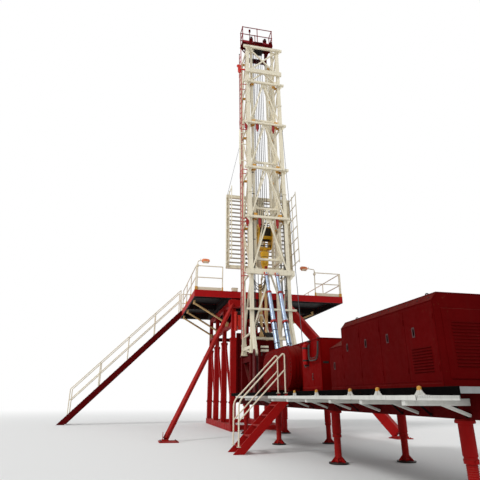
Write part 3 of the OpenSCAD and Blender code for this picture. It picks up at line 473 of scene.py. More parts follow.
class Shape:
    """Gathers one joined piece; place carries its points into the row frame."""

    def __init__(self, place=None):
        self.place = place or Matrix.Identity(4)
        self.verts, self.faces = [], []

    def add(self, verts, faces, local=None):
        m = self.place @ local if local is not None else self.place
        n = len(self.verts)
        self.verts += [tuple(m @ Vector(v)) for v in verts]
        self.faces += [[i + n for i in f] for f in faces]

    def box(self, lo, hi, c=0.006, local=None):
        self.add(*chamfered(lo, hi, c), local)

    def pad(self, x, y, hx, hy, z0, z1, c=0.006):
        """A box that reaches hx and hy from its middle."""
        self.box((x - hx, y - hy, z0), (x + hx, y + hy, z1), c)

    def bar(self, a, b, w, h, c=0.004, up=Z):
        length = (Vector(b) - Vector(a)).length
        self.box((-w / 2, -h / 2, 0), (w / 2, h / 2, length), c, along(a, b, up))

    def turned(self, a, b, profile, sides=24):
        """A turned form about a to b; profile is (distance from a, radius)."""
        verts = [(x, y, t) for t, r in profile for x, y in around(sides, max(r, 0.0004))]
        self.add(verts, skinned(sides, len(profile)), along(a, b))

    def stood(self, x, y, z, profile, sides=24):
        """A turned form about an upright line."""
        self.turned((x, y, z), (x, y, z + 1), profile, sides)

    def rod(self, a, b, r, sides=16, c=0.003):
        length = (Vector(b) - Vector(a)).length
        c = min(c, r * 0.4, length * 0.3)
        self.turned(a, b, [(0, r - c), (c, r), (length - c, r), (length, r - c)], sides)

    def ring(self, centre, axis, r, wide, thick, sides=32):
        """A band round an axis: inner radius r, wide along the axis, thick outwards."""
        a = Vector(centre) - Vector(axis).normalized() * wide / 2
        c = min(wide, thick) * 0.25
        section = [(0, r), (0, r + thick - c), (c, r + thick), (wide - c, r + thick), (wide, r + thick - c), (wide, r)]
        verts = [(x, y, t) for t, q in section for x, y in around(sides, q)]
        self.add(verts, skinned(sides, len(section), True), along(a, a + Vector(axis)))

    def tube(self, path, r, sides=12, closed=False):
        pts = [Vector(p) for p in path]
        n, side, verts = len(pts), None, []
        for i, p in enumerate(pts):
            before = pts[i - 1] if (i or closed) else p
            after = pts[(i + 1) % n] if (i < n - 1 or closed) else p
            t = (after - before).normalized()
            side = side or t.orthogonal().normalized()
            side = (side - t * side.dot(t)).normalized()
            other = t.cross(side)
            verts += [tuple(p + side * a + other * b) for a, b in around(sides, r)]
        self.add(verts, skinned(sides, n, closed))

    def plate(self, outline, thick, local=None, c=0.003):
        """A flat plate of an outline in x and y, thick in z, with its rims cut back."""
        n, c = len(outline), min(c, 0.3 * thick)
        mid = Vector((sum(p[0] for p in outline) / n, sum(p[1] for p in outline) / n))
        k = 1 - c / max((Vector(p) - mid).length for p in outline)
        inner = [mid + (Vector(p) - mid) * k for p in outline]
        layers = ((inner, 0), (outline, c), (outline, thick - c), (inner, thick))
        self.add([(p[0], p[1], z) for points, z in layers for p in points], skinned(n, len(layers)), local)

    def bolt(self, p, normal, d=0.03, h=0.018, washer=True):
        """A hexagon head standing on a face."""
        p, normal = Vector(p), Vector(normal).normalized()
        if washer:
            self.turned(p, p + normal, [(0, d * 0.95), (h * 0.2, d * 0.95), (h * 0.25, d * 0.85)], 12)
        self.turned(p, p + normal, [(h * 0.2, d * 0.62), (h * 0.85, d * 0.62), (h, d * 0.48)], 6)

    def made(self, name, finish, body, *nodes):
        """The piece: it rides its body and stands for the nodes."""
        mesh = bpy.data.meshes.new(name)
        mesh.from_pydata(self.verts, [], self.faces)
        bm = bmesh.new()
        bm.from_mesh(mesh)
        bmesh.ops.recalc_face_normals(bm, faces=bm.faces)
        bm.to_mesh(mesh)
        bm.free()
        mesh.polygons.foreach_set("use_smooth", [True] * len(mesh.polygons))
        mesh.set_sharp_from_angle(angle=SHARP)
        mesh.update()
        mesh.materials.append(MAT[finish])
        obj = placed(name, mesh)
        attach(obj, body)
        if nodes:
            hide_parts(*nodes)
        return obj


def shapes(n, place=None):
    return [Shape(place) for _ in range(n)]


def make_all(body, *rows):
    """Pieces of one body; a row is shape, name, finish and the nodes that it stands for."""
    for shape, name, finish, *nodes in rows:
        shape.made(name, finish, body, *nodes)


# ---------------------------------------------------------------- floodlights
def make_floodlights():
    heads, lenses, arms = shapes(3)
    y = RAIL_Y
    ribs = repeated(7, 0.026, [(0.085, 0.088), (0.088, 0.098), (0.096, 0.098), (0.099, 0.088)])
    profile = ([(0, 0.02), (0, 0.050), (0.012, 0.060), (0.045, 0.084), (0.075, 0.094)] + ribs +
               [(0.285, 0.094), (0.315, 0.084), (0.348, 0.060), (0.360, 0.050), (0.360, 0.02)])
    down, across = Vector((0, -0.50, -0.866)), Vector((0, -0.866, 0.50))
    bottom = FLOOR_Z + RAIL_H + 0.024
    for x, z, post, s in ((-2.410, 7.150, -2.770, -1), (2.360, 7.080, 2.890, 1)):
        heads.turned((x - 0.18, y, z), (x + 0.18, y, z), profile, 32)
        hood = Matrix((Vector(X), across, down)).transposed().to_4x4()
        hood.translation = Vector((x, y, z))
        heads.box((-0.135, -0.080, 0.020), (0.135, 0.080, 0.098), 0.012, hood)
        lenses.box((-0.118, -0.063, 0.090), (0.118, 0.063, 0.108), 0.008, hood)
        for sx, sy in product(SIDES, SIDES):
            heads.bolt(hood @ Vector((sx * 0.126, sy * 0.071, 0.097)), down, 0.010, 0.010, False)
        yoke = [(x - s * 0.19, y, z), (x + s * 0.19, y, z), (x + s * 0.235, y, z), (x + s * 0.235, y, z + 0.08)]
        arms.tube(bent(yoke, 0.03), 0.014, 10)
        stem = [(post, y, bottom - 0.10), (post, y, z - 0.16), (post, y, z - 0.03), (x + s * 0.17, y, z + 0.004)]
        arms.tube(bent(stem, 0.12, 7), 0.020, 12)
        arms.ring((post, y, bottom + 0.02), Z, 0.019, 0.05, 0.012, 16)
        arms.ring((post, y, bottom - 0.07), Z, 0.022, 0.04, 0.012, 16)
        arms.pad(post, y, 0.05, 0.045, z - 0.30, z - 0.20, 0.008)
        for sy in SIDES:
            arms.bolt((post + 0.03, y + sy * 0.045, z - 0.25), (0, sy, 0), 0.012, 0.008, False)
    make_all("substructure", (heads, "floodlight_heads", "orange", "floodlights"),
             (lenses, "floodlight_lenses", "lens"), (arms, "floodlight_arms", "rail_cream"))


# ---------------------------------------------------------------- rail feet, toe boards and floor fittings
def make_floor_fittings():
    sockets, toes, plates = shapes(3)
    left, right, back = -2.830, 4.190, BACK_Y - 0.04
    posts = [(x, RAIL_Y) for x in (-2.770, -1.604, 2.890, 4.130)]
    posts += [(left, RAIL_Y + (STAIR_Y - 0.06 - RAIL_Y) * i / 3) for i in range(4)]
    posts += [(right, RAIL_Y + (back - RAIL_Y) * i / 3) for i in range(4)]
    posts += [(left + 1.930 * i / 2, back) for i in range(3)] + [(0.9 + 3.21 * i / 3, back) for i in range(4)]
    for x, y in posts:
        sockets.ring((x, y, FLOOR_Z + 0.085), Z, 0.0245, 0.15, 0.014, 16)
        sockets.pad(x, y, 0.055, 0.035, FLOOR_Z + 0.0005, FLOOR_Z + 0.012, 0.003)
        for sx in SIDES:
            sockets.bolt((x + sx * 0.042, y, FLOOR_Z + 0.012), Z, 0.014, 0.012, False)
            foot = upright(x + sx * 0.024, y - 0.003, FLOOR_Z + 0.012, sx)
            sockets.plate([(0, 0), (0.022, 0), (0, 0.09)], 0.006, foot)
    # Toe boards, half of their thickness on each side of a line
    half, front = 0.004, FRONT_Y + 0.062
    for x0, y0, x1, y1 in ((-2.73, front, -1.65, front), (2.93, front, 4.09, front), (-2.800, -0.88, -2.800, 4.53),
                           (4.160, -0.88, 4.160, 5.50), (-2.77, 5.530, -0.93, 5.530), (0.93, 5.530, 4.08, 5.530)):
        dx, dy = (half, 0) if x0 == x1 else (0, half)
        toes.box((x0 - dx, y0 - dy, FLOOR_Z + 0.010), (x1 + dx, y1 + dy, FLOOR_Z + 0.150), 0.002)
    # Equipment box on the left wing beside the mast
    plates.box((-1.14, -0.93, FLOOR_Z + 0.02), (-0.88, -0.72, FLOOR_Z + 0.17), 0.012)
    plates.box((-1.155, -0.945, FLOOR_Z + 0.165), (-0.865, -0.705, FLOOR_Z + 0.185))
    for x in (-1.12, -0.92):
        plates.box((x, -0.92, FLOOR_Z + 0.001), (x + 0.04, -0.73, FLOOR_Z + 0.022), 0.004)
    handle = [(x, y, FLOOR_Z + 0.10) for x, y in ((-1.06, -0.93), (-1.06, -0.955), (-0.96, -0.955), (-0.96, -0.93))]
    plates.tube(bent(handle, 0.012), 0.005, 8)
    make_all("substructure", (sockets, "rail_sockets", "ochre"), (toes, "toe_boards", "rail_cream"),
             (plates, "floor_box", "rail_cream"))
    # Fixing bolts of the floor plates, and the opening's curb
    deck = Shape()
    for x0, x1, y0 in ((-2.87, -1.25, FRONT_Y), (1.25, 4.23, FRONT_Y), (-1.25, 1.25, 1.2)):
        y = y0 + 0.25
        while y < BACK_Y - 0.1:
            for x in np.arange(x0 + 0.12, x1 - 0.05, 0.40):
                deck.bolt((x, y, FLOOR_Z), Z, 0.014, 0.008)
            y += 1.06
    deck.ring((0, 0, FLOOR_Z + 0.030), Z, 0.700, 0.058, 0.022, 48)
    deck.made("deck_bolts", "steel", "substructure")


def make_rotary():
    ring, bushing = shapes(2)
    z = FLOOR_Z + 0.060
    ring.stood(0, 0, z, [(0.0005, 0.60), (0.03, 0.60), (0.045, 0.585), (0.045, 0.30), (0.028, 0.285), (0.028, 0.2235),
                         (0.0005, 0.2235)], 64)
    for x, y in around(24, 0.54):
        ring.bolt((x, y, z + 0.045), Z, 0.022, 0.018)
    bushing.ring((0, 0, z - 0.04), Z, 0.2225, 0.16, 0.045, 48)
    for x, y in around(4, 0.36, math.pi / 4):
        turn = Matrix.Rotation(math.atan2(y, x), 4, "Z")
        bushing.box((-0.035, -0.012, 0), (0.035, 0.012, 0.028), 0.005, Matrix.Translation((x, y, z + 0.045)) @ turn)
    # Drive shaft cover to the table's side
    bushing.box((0.66, -0.14, FLOOR_Z + 0.001), (1.20, 0.14, FLOOR_Z + 0.20), 0.03)
    for x, y in product((0.70, 0.93, 1.16), (-0.10, 0.10)):
        bushing.bolt((x, y, FLOOR_Z + 0.20), Z, 0.02, 0.014)
    make_all("substructure", (ring, "rotary_ring", "iron"), (bushing, "rotary_bushing", "machine_red"))


# ---------------------------------------------------------------- travelling block, hook and swivel
def guard_strip(side, lo, hi, v, w):
    """A strip bent round the sheaves between two angles, open to the lines; side is the way it faces."""
    steps, half, radii = 10, 0.268, (0.325, 0.337)
    verts = []
    for i in range(steps + 1):
        a = math.radians(lo + (hi - lo) * i / steps)
        verts += [(x, v + side * r * math.cos(a), w + r * math.sin(a)) for r in radii for x in (-half, half)]
    faces = [[0, 2, 3, 1], [4 * steps, 4 * steps + 1, 4 * steps + 3, 4 * steps + 2]]
    for k in range(0, 4 * steps, 4):
        faces += [[k, k + 1, k + 5, k + 4], [k + 2, k + 6, k + 7, k + 3], [k, k + 4, k + 6, k + 2],
                  [k + 1, k + 3, k + 7, k + 5]]
    return verts, faces


def make_block():
    v, w = SHEAVE_V, BLOCK_W
    cheeks, sheaves, dark = shapes(3, ON_MAST)
    outline = rounded([(-0.18, -0.75), (0.18, -0.75), (0.36, -0.30), (0.36, 0.20), (0.20, 0.42), (-0.20, 0.42),
                       (-0.36, 0.20), (-0.36, -0.30)])
    small = [(a * 0.80, b * 0.80 - 0.02) for a, b in outline]
    for s, x_big, x_small in ((-1, -0.310, -0.325), (1, 0.270, 0.310)):
        cheeks.plate(outline, 0.040, sideways(x_big, v, w), 0.010)
        cheeks.plate(small, 0.015, sideways(x_small, v, w), 0.005)
        cheeks.turned((s * 0.31, v, w), (s * 0.36, v, w),
                      [(0, 0.125), (0.020, 0.125), (0.028, 0.095), (0.040, 0.090), (0.045, 0.078)], 24)
        for a, b in around(8, 0.19, 0.2):
            dark.bolt((s * 0.325, v + a, w + b), (s, 0, 0), 0.022, 0.018)
        for a, b in ((0.10, -0.60), (-0.10, -0.60), (0.26, 0.12), (-0.26, 0.12), (0.12, 0.30), (-0.12, 0.30)):
            dark.bolt((s * 0.325, v + a, w + b), (s, 0, 0), 0.026, 0.020)
    groove = [(0.002, 0.10), (0.002, 0.306), (0.010, 0.3125), (0.022, 0.3125), (0.030, 0.292), (0.036, 0.288)]
    groove += [(0.072 - t, r) for t, r in groove[-2::-1]]
    for x in (-0.18, -0.09, 0.0, 0.09, 0.18):
        sheaves.turned((x - 0.036, v, w), (x + 0.036, v, w), groove, 48)
    # Guard strips over the sheaves, open at the top for the lines, and tie bolts
    for side, (lo, hi) in product(SIDES, ((40, 62), (-62, -34))):
        cheeks.add(*guard_strip(side, lo, hi, v, w))
    for a, b in ((0.16, 0.372), (-0.16, 0.372), (0.13, -0.60), (-0.13, -0.60)):
        dark.rod((-0.268, v + a, w + b), (0.268, v + a, w + b), 0.022)
    for x in (-0.20, 0.0, 0.20):
        cheeks.pad(x, v, 0.022, 0.12, w - 0.745, w - 0.44, 0.012)
    cheeks.pad(0, v, 0.268, 0.155, w - 0.750, w - 0.69, 0.018)
    make_all("travelling_block", (cheeks, "block_cheeks", "yellow", "travelling_block"),
             (sheaves, "block_sheaves", "sheave_iron"))

    hook, eye, stem, bail = shapes(4, ON_MAST)
    hook.stood(0, v, w - 1.530, [
        (0, 0.115), (0.010, 0.135), (0.045, 0.152), (0.10, 0.158), (0.115, 0.170), (0.40, 0.172), (0.44, 0.178),
        (0.51, 0.195), (0.56, 0.200), (0.625, 0.200), (0.655, 0.190), (0.662, 0.150), (0.668, 0.130), (0.765, 0.128),
        (0.7797, 0.118)], 40)
    dark.ring((0, v, w - 0.845), Z, 0.129, 0.030, 0.016, 40)
    dark.ring((0, v, w - 1.125), Z, 0.1705, 0.018, 0.008, 40)
    for a, b in around(10, 0.165):
        dark.bolt((a, v + b, w - 0.870), Z, 0.020, 0.016)
    # Forged fork round the pin
    fork = [(-0.150, 0.02), (-0.165, -0.10), (-0.145, -0.19), (-0.07, -0.215), (0.07, -0.215), (0.145, -0.19),
            (0.150, -0.10), (0.150, 0.02)]
    hook.plate(rounded(fork), 0.180, sideways(-0.090, v, w - 1.485), 0.030)
    pin = w - 1.620
    hook.rod((0, v - 0.172, pin), (0, v - 0.10, pin), 0.085, 32, 0.012)
    for x in (0.088, -0.125):
        hook.box((x, v - 0.05, pin + 0.04), (x + 0.037, v + 0.05, pin + 0.15), 0.012)
    hook.made("hook_body", "yellow", "travelling_block", "hook")
    eye.ring((0, v - 0.180, pin), Y, 0.030, 0.030, 0.032)
    eye.made("hook_latch_ring", "latch_red", "travelling_block")
    dark.rod((0, v - 0.176, pin), (0, v + 0.13, pin), 0.029, 24)
    dark.made("block_pins", "iron", "travelling_block")

    stem.stood(0, v, 0.100, [(0, 0.050), (0.01, 0.056), (0.14, 0.056), (0.16, 0.078), (0.40, 0.078), (0.44, 0.056),
                             (1.00, 0.056), (1.03, 0.076), (1.28, 0.076), (1.31, 0.056), (1.80, 0.056), (1.83, 0.080),
                             (1.98, 0.080)])
    stem.made("stem_tube", "tan", "travelling_block", "swivel_stem")
    bail.stood(0, v, 2.080, [(0, 0.070), (0.01, 0.090), (0.05, 0.130), (0.10, 0.150), (0.24, 0.150), (0.28, 0.118),
                             (0.36, 0.100), (0.40, 0.070), (0.52, 0.062), (0.60, 0.050), (0.62, 0.030)], 32)
    half = [(-0.155, v, 2.24), (-0.185, v, 2.60), (-0.110, v, 2.98)]
    bow = half + [(0, v, 3.055)] + [(-a, b, c) for a, b, c in half[::-1]]
    bail.tube(bent(bow, 0.14, 7), 0.026, 14)
    for s in SIDES:
        bail.rod((s * 0.118, v, 2.24), (s * 0.20, v, 2.24), 0.048, 24, 0.008)
    bail.tube(bent([(0, v, 2.66), (0, v, 2.76), (-0.11, v - 0.04, 2.80), (-0.18, v - 0.09, 2.68)], 0.06, 6), 0.030, 14)
    bail.turned((-0.174, v - 0.086, 2.70), (-0.200, v - 0.105, 2.60),
                [(0, 0.03), (0.01, 0.046), (0.06, 0.046), (0.07, 0.034), (0.10, 0.034)], 8)
    bail.made("swivel_and_bail", "tan_grey", "travelling_block")


# ---------------------------------------------------------------- raising cylinders
def make_cylinders():
    lug = on_mast(0, -LEG / 2 - 0.160, FIRST - 0.090)
    axis = (lug - FOOT_PIN).normalized()
    reach = (lug - FOOT_PIN).length
    out = Vector((0, -axis.z, axis.y))
    barrel, stage_1, stage_2, dark, pins = shapes(5)
    for s in SIDES:
        def at(t):
            return FOOT_PIN + Vector((s * CYL_X, 0, 0)) + axis * t

        for shape, t, r, wide, thick in ((barrel, 1.475, 0.1005, 0.10, 0.022), (barrel, 0.190, 0.1005, 0.05, 0.014),
                                         (stage_1, 2.825, 0.0835, 0.09, 0.020),
                                         (stage_2, reach - 0.125, 0.0675, 0.045, 0.016)):
            shape.ring(at(t), axis, r, wide, thick)
        m = along(at(1.525), at(2.0))
        for a, b in around(8, 0.108):
            dark.bolt(m @ Vector((a, b, 0)), axis, 0.013, 0.010, False)
        # Oil line from the foot along the barrel to its collar
        line = [at(t) + out * off for t, off in ((0.16, 0.115), (0.30, 0.135), (1.30, 0.135), (1.40, 0.105))]
        dark.tube(bent(line, 0.05), 0.012, 10)
        for t in (0.55, 1.10):
            dark.ring(at(t), axis, 0.1005, 0.030, 0.006)
        dark.box((-0.03, -0.022, -0.03), (0.03, 0.03, 0.03), 0.006, along(at(1.42) + out * 0.112, at(3) + out * 0.112))
        # Pin and washers at the mast's lug
        x = s * CYL_X
        pins.rod((x - 0.085, lug.y, lug.z), (x + 0.085, lug.y, lug.z), 0.0325, 24)
        for e in SIDES:
            pins.rod((x + e * 0.0605, lug.y, lug.z), (x + e * 0.078, lug.y, lug.z), 0.058, 24)
    barrel.made("ram_barrels_collars", "collar_red", "cylinder_barrels")
    stage_1.made("ram_stage_1_collars", "collar_red", "cylinder_stage_1")
    stage_2.made("ram_stage_2_collars", "collar_red", "cylinder_stage_2")
    dark.made("ram_oil_lines", "iron", "cylinder_barrels")
    pins.made("ram_pins", "latch_red", "lower_mast")


# ---------------------------------------------------------------- mast
def make_gussets():
    """Plates and bolts of the lower mast's joints, and what its ladder side carries."""
    plates, pins, red = shapes(3, ON_MAST)
    front = -LEG / 2
    for k, w in enumerate([FIRST + k * PANEL for k in range(GIRTS)] + [LOWER - 0.090]):
        half = 0.115 if k == 0 else (0.065 if k == GIRTS else 0.0525)
        below = -1 if k == GIRTS else 1
        for s in SIDES:
            # Cap plate on the girt where it crosses the leg, with its bolts
            plates.box((s * LX - 0.105, front - 0.112, w - half + 0.008),
                       (s * LX + 0.105, front - 0.1002, w + half - 0.008), 0.004)
            for bx, bz in product((-0.075, 0.075), (-0.5, 0.5)):
                pins.bolt((s * LX + bx, front - 0.112, w + bz * half * 1.1), (0, -1, 0), 0.016, 0.012, False)
            # Brace gussets on the face of the girt's back
            plates.plate([(0, 0), (s * -0.30, 0), (s * -0.24, below * 0.07), (0, below * 0.30)], 0.010,
                         upright(s * LEG_IN, front + 0.064, w + below * half), 0.002)
        # Middle gusset where the braces meet below the girt
        if 0 < k < GIRTS:
            plates.plate([(-0.14, 0), (0.14, 0), (0.08, -0.15), (-0.08, -0.15)], 0.010,
                         upright(0, front - 0.002, w - half), 0.002)
    # Side gussets at the girts' ends, both sides
    for k, s, (v, d) in product(range(GIRTS), SIDES, ((LEG / 2, 1), (MAST_D - LEG / 2, -1))):
        x = s * (LX + 0.033) - (0.008 if s > 0 else 0)
        plates.plate([(0, -0.20), (0, 0.20), (d * 0.20, 0.05), (d * 0.20, -0.05)], 0.008,
                     sideways(x, v, FIRST + k * PANEL), 0.002)
    # Splice flanges with bolts on the four legs, and the lower legs' shoe plates
    for s, v in product(SIDES, (0, MAST_D)):
        for w in (6.50, 11.50):
            plates.pad(s * LX, v, 0.098, 0.098, w - 0.016, w + 0.016, 0.004)
            for dx, dv in product((-0.086, 0.086), (-0.045, 0.045)):
                pins.bolt((s * LX + dx, v + dv, w + 0.016), Z, 0.012, 0.012, False)
        plates.pad(s * LX, v, 0.092, 0.092, 0.0, 0.030)
        for turn in (0, math.pi, math.pi / 2, -math.pi / 2):
            m = Matrix.Translation((s * LX, v, 0.03)) @ Matrix.Rotation(turn, 4, "Z")
            plates.plate([(0, 0), (0.018, 0), (0.002, 0.16), (0, 0.16)], 0.008,
                         m @ upright(LEG / 2 - 0.002, 0.004, 0), 0.001)
    # Small sheave on its bracket near the top of the ladder side
    red.box((-1.31, 0.02, 13.40), (-1.17, 0.05, 13.86), 0.008)
    red.box((-1.19, 0.01, 13.56), (-LEG_OUT, 0.06, 13.64))
    red.ring((-1.26, 0.035, 13.78), Y, 0.030, 0.045, 0.080, 28)
    red.box((-1.29, 0.0, 13.36), (-1.19, 0.07, 13.44), 0.008)
    # Long tube beside the ladder, on three brackets
    plates.rod((-1.215, 0.06, 7.95), (-1.215, 0.06, 9.85), 0.046)
    for w in (8.15, 9.05, 9.70):
        plates.box((-1.23, 0.03, w - 0.02), (-LEG_OUT + 0.002, 0.07, w + 0.02), 0.004)
    make_all("lower_mast", (plates, "mast_gussets", "cream"), (pins, "mast_bolts", "steel"),
             (red, "mast_line_bracket", "latch_red"))


def make_standpipe():
    """Pipe run beside the well side's right leg, with clamps."""
    pipe, clamp = shapes(2, ON_MAST)
    x, v = LEG_OUT + 0.100, MAST_D - 0.030
    pipe.tube([(x, v, 2.30), (x, v, 11.9)], 0.040, 16)
    for w in np.arange(3.0, 11.8, 1.45):
        clamp.ring((x, v, w), Z, 0.0405, 0.05, 0.010, 20)
        clamp.box((LEG_OUT, v - 0.025, w - 0.02), (x - 0.042, v + 0.025, w + 0.02), 0.004)
    for w in (2.34, 6.0, 9.6):
        clamp.stood(x, v, w - 0.06, [(0, 0.043), (0.01, 0.060), (0.08, 0.062), (0.11, 0.060), (0.12, 0.043)], 8)
    make_all("lower_mast", (pipe, "standpipe", "pipe_grey"), (clamp, "standpipe_clamps", "iron"))


def make_ladder():
    """Ladder: rails, round rungs, joint plates and brackets to the leg's side, with a fall-arrest line."""
    ladder, line = shapes(2, ON_MAST)
    x, v, half, first, pitch = -LX - 0.310, 0.350, 0.190, 0.262, 0.3
    for e in (v - half, v + half):
        ladder.pad(x, e, 0.022, 0.014, 0.100, LOWER - 0.100, 0.003)
        for k in range(GIRTS):
            w = FIRST + k * PANEL
            ladder.box((x + 0.014, e - 0.012, w - 0.02), (-LX - 0.0313, e + 0.012, w + 0.02), 0.004)
        for w in np.arange(1.6, 15.0, 3.0):
            ladder.pad(x, e, 0.030, 0.024, w - 0.14, w + 0.14, 0.004)
    for i in range(int((LOWER - 0.5) / pitch) + 1):
        w = first + pitch * i
        ladder.rod((x, v - 0.178, w), (x, v + 0.178, w), 0.0125, 10)
    line.rod((x - 0.055, v, 0.35), (x - 0.055, v, LOWER - 0.25), 0.006, 8, 0.001)
    for w in np.arange(0.4, 15.0, 2.9):
        line.box((x - 0.065, v - 0.02, w - 0.02), (x - 0.010, v + 0.02, w + 0.02), 0.003)
    make_all("lower_mast", (ladder, "ladder", "pink", "mast_ladder"), (line, "ladder_safety_line", "steel"))


def make_foot_ram():
    """Tan ram between the feet, on splayed struts."""
    ram, strut = shapes(2, ON_MAST)
    x, v = -0.345, 0.30
    ram.stood(x, v, 0.16, [(0, 0.075), (0.01, 0.090), (0.10, 0.090), (0.11, 0.062), (2.02, 0.062), (2.03, 0.078),
                           (2.12, 0.078), (2.13, 0.060), (2.18, 0.045)])
    strut.pad(0, v, LEG_IN, 0.06, 0.06, 0.16, 0.008)
    strut.ring((x, v, 1.02), Z, 0.0625, 0.07, 0.018, 24)
    for s in SIDES:
        strut.bar((x + s * 0.36, v, 0.165), (x + s * 0.05, v, 1.02), 0.05, 0.05)
        strut.pad(s * LEG_IN, v, 0.006, 0.09, 0.03, 0.19, 0.003)
        end = s * (LEG_IN - 0.005)
        strut.bar((end, v, 0.10), (end, 0.02, 0.10), 0.08, 0.10)
    make_all("lower_mast", (ram, "extending_ram_foot", "tan"), (strut, "extending_ram_struts", "cream"))


def make_mast_hoses():
    """Hydraulic lines clipped to the inside of the carrier-side legs and across the feet."""
    lines = Shape(ON_MAST)
    for s, tops in ((-1, (4.9, 6.7, 3.3)), (1, (4.9, 6.7, 3.3, 8.2))):
        for i, top in enumerate(tops):
            x = s * (LEG_IN - 0.022 - 0.030 * i)
            path = [(x, -0.05, 0.35 + 0.03 * i), (x, -0.05, top), (x + s * 0.03 * i, 0.0, top + 0.12)]
            lines.tube(bent(path, 0.08), 0.010, 8)
        for w in np.arange(0.9, 7.6, 1.1):
            x0, x1 = sorted((s * LEG_IN, s * (LEG_IN - 0.13)))
            lines.box((x0, -0.045, w), (x1, -0.035, w + 0.035), 0.002)
    # Bundle that bows out above the left foot and returns to the valve block
    for i in range(3):
        path = [(-LEG_IN + 0.03, -0.05, 0.62 + 0.10 * i), (-0.50 + 0.03 * i, -0.10, 0.50 - 0.02 * i),
                (-0.36 + 0.05 * i, -0.07, 0.22), (-0.24 + 0.04 * i, 0.05, 0.17), (-0.10 + 0.05 * i, 0.24, 0.17)]
        lines.tube(bent(path, 0.16, 8), 0.017, 10)
    lines.box((-0.16, 0.22, 0.16), (0.10, 0.36, 0.34), 0.012)
    for i in range(4):
        lines.rod((-0.12 + 0.065 * i, 0.20, 0.27), (-0.12 + 0.065 * i, 0.13, 0.27), 0.016, 10)
    # Loops below the block's parking place, from the left leg to the middle
    for i, (sag, lift) in enumerate(((0.34, 0.0), (0.26, 0.05), (0.42, -0.04))):
        lines.tube([(-LEG_IN + 0.02 + t * 0.58, 0.02 + 0.05 * math.sin(3.14 * t) + 0.02 * i,
                     2.42 + lift - sag * 4 * t * (1 - t) + 0.10 * t) for t in np.linspace(0, 1, 18)], 0.014, 10)
    lines.made("mast_hoses", "rubber", "lower_mast")


def make_upper_gussets():
    """Gussets and running shoes of the upper mast."""
    up = Shape(ON_MAST)
    for k in range(int((UP_TOP - UP_START - 0.3) // INNER_PANEL) + 1):
        w = UP_START + 0.150 + k * INNER_PANEL
        for s in SIDES:
            up.plate([(0, 0), (-s * 0.20, 0), (-s * 0.15, 0.05), (0, 0.22)], 0.008,
                     upright(s * (UPPER_X - INNER_LEG / 2), UP_V1 + 0.034, w + 0.04), 0.002)
            for v in (UP_V1, UP_V2):
                up.pad(s * UPPER_X, v, 0.060, 0.060, w - 0.05, w + 0.05)
    up.made("upper_gussets", "cream", "upper_mast")


def make_stay():
    """Stay from the mast's right leg to the machinery, taut while the mast stands."""
    stay, ends, lug = Shape(), Shape(), Shape(ON_MAST)
    a = on_mast(LX + 0.085, -0.02, 10.04)
    b = Vector((-1.275, -10.36, 2.06))
    stay.tube([a, b], 0.0095, 8)
    obj = stay.made("mast_stay", "rope", "lower_mast")
    obj.parent = None
    obj.matrix_world = Matrix.Identity(4)
    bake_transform(obj)
    ends.box(b - Vector((-0.022, 0.05, 0.09)), b + Vector((0.024, 0.05, 0.02)), 0.008)
    ends.ring(b + Vector((0.004, 0.0, 0.012)), Y, 0.012, 0.016, 0.010, 16)
    ends.made("stay_anchor", "iron", "substructure")
    lug.box((LEG_OUT - 0.002, -0.05, 9.98), (LEG_OUT + 0.030, 0.02, 10.12))
    lug.made("stay_lug", "iron", "lower_mast")


# ---------------------------------------------------------------- racking board
def make_racking():
    fingers, trim, dark = shapes(3, ON_MAST)
    v0, v1 = BOARD_V + 0.020, BOARD_V + 0.100
    far = BOARD_W0 + BOARD_L
    for s in SIDES:
        for i in range(16):
            w = BOARD_W0 + 0.290 + i * 0.2085
            x0, x1 = sorted((s * 0.300, s * (BOARD_HALF - 0.150)))
            fingers.box((x0, v0, w - 0.022), (x1, v1, w + 0.022))
            dark.box((s * 0.62 - 0.03, v0 - 0.018, w - 0.030), (s * 0.62 + 0.03, v0, w + 0.050), 0.005)
        for w, x in product((BOARD_W0 + 0.075, far - 0.075), np.arange(0.2, 1.5, 0.3)):
            dark.bolt((s * x, BOARD_V, w), (0, -1, 0), 0.016, 0.012, False)
        # Kick strip round the board and plates at the rail posts' feet
        x = s * BOARD_HALF
        trim.box((x - 0.006, BOARD_V - 0.110, BOARD_W0 + 0.02), (x - s * 0.002, BOARD_V, far - 0.02), 0.002)
        x = s * (BOARD_HALF - 0.030)
        for i in range(7):
            w = BOARD_W0 + 0.2 + (BOARD_L - 0.4) * i / 6
            trim.box((x - 0.045, BOARD_V - 0.012, w - 0.045), (x + 0.030, BOARD_V - 0.0004, w + 0.045), 0.003)
    # Tread plate of the middle walkway, ribbed
    for w in np.arange(BOARD_W0 + 0.16, far - 0.16, 0.085):
        trim.box((-0.28, BOARD_V - 0.008, w), (0.28, BOARD_V + 0.001, w + 0.018), 0.003)
    make_all("racking_board", (fingers, "racking_fingers", "finger_grey"), (trim, "racking_trim", "cream"),
             (dark, "racking_latches", "iron"))


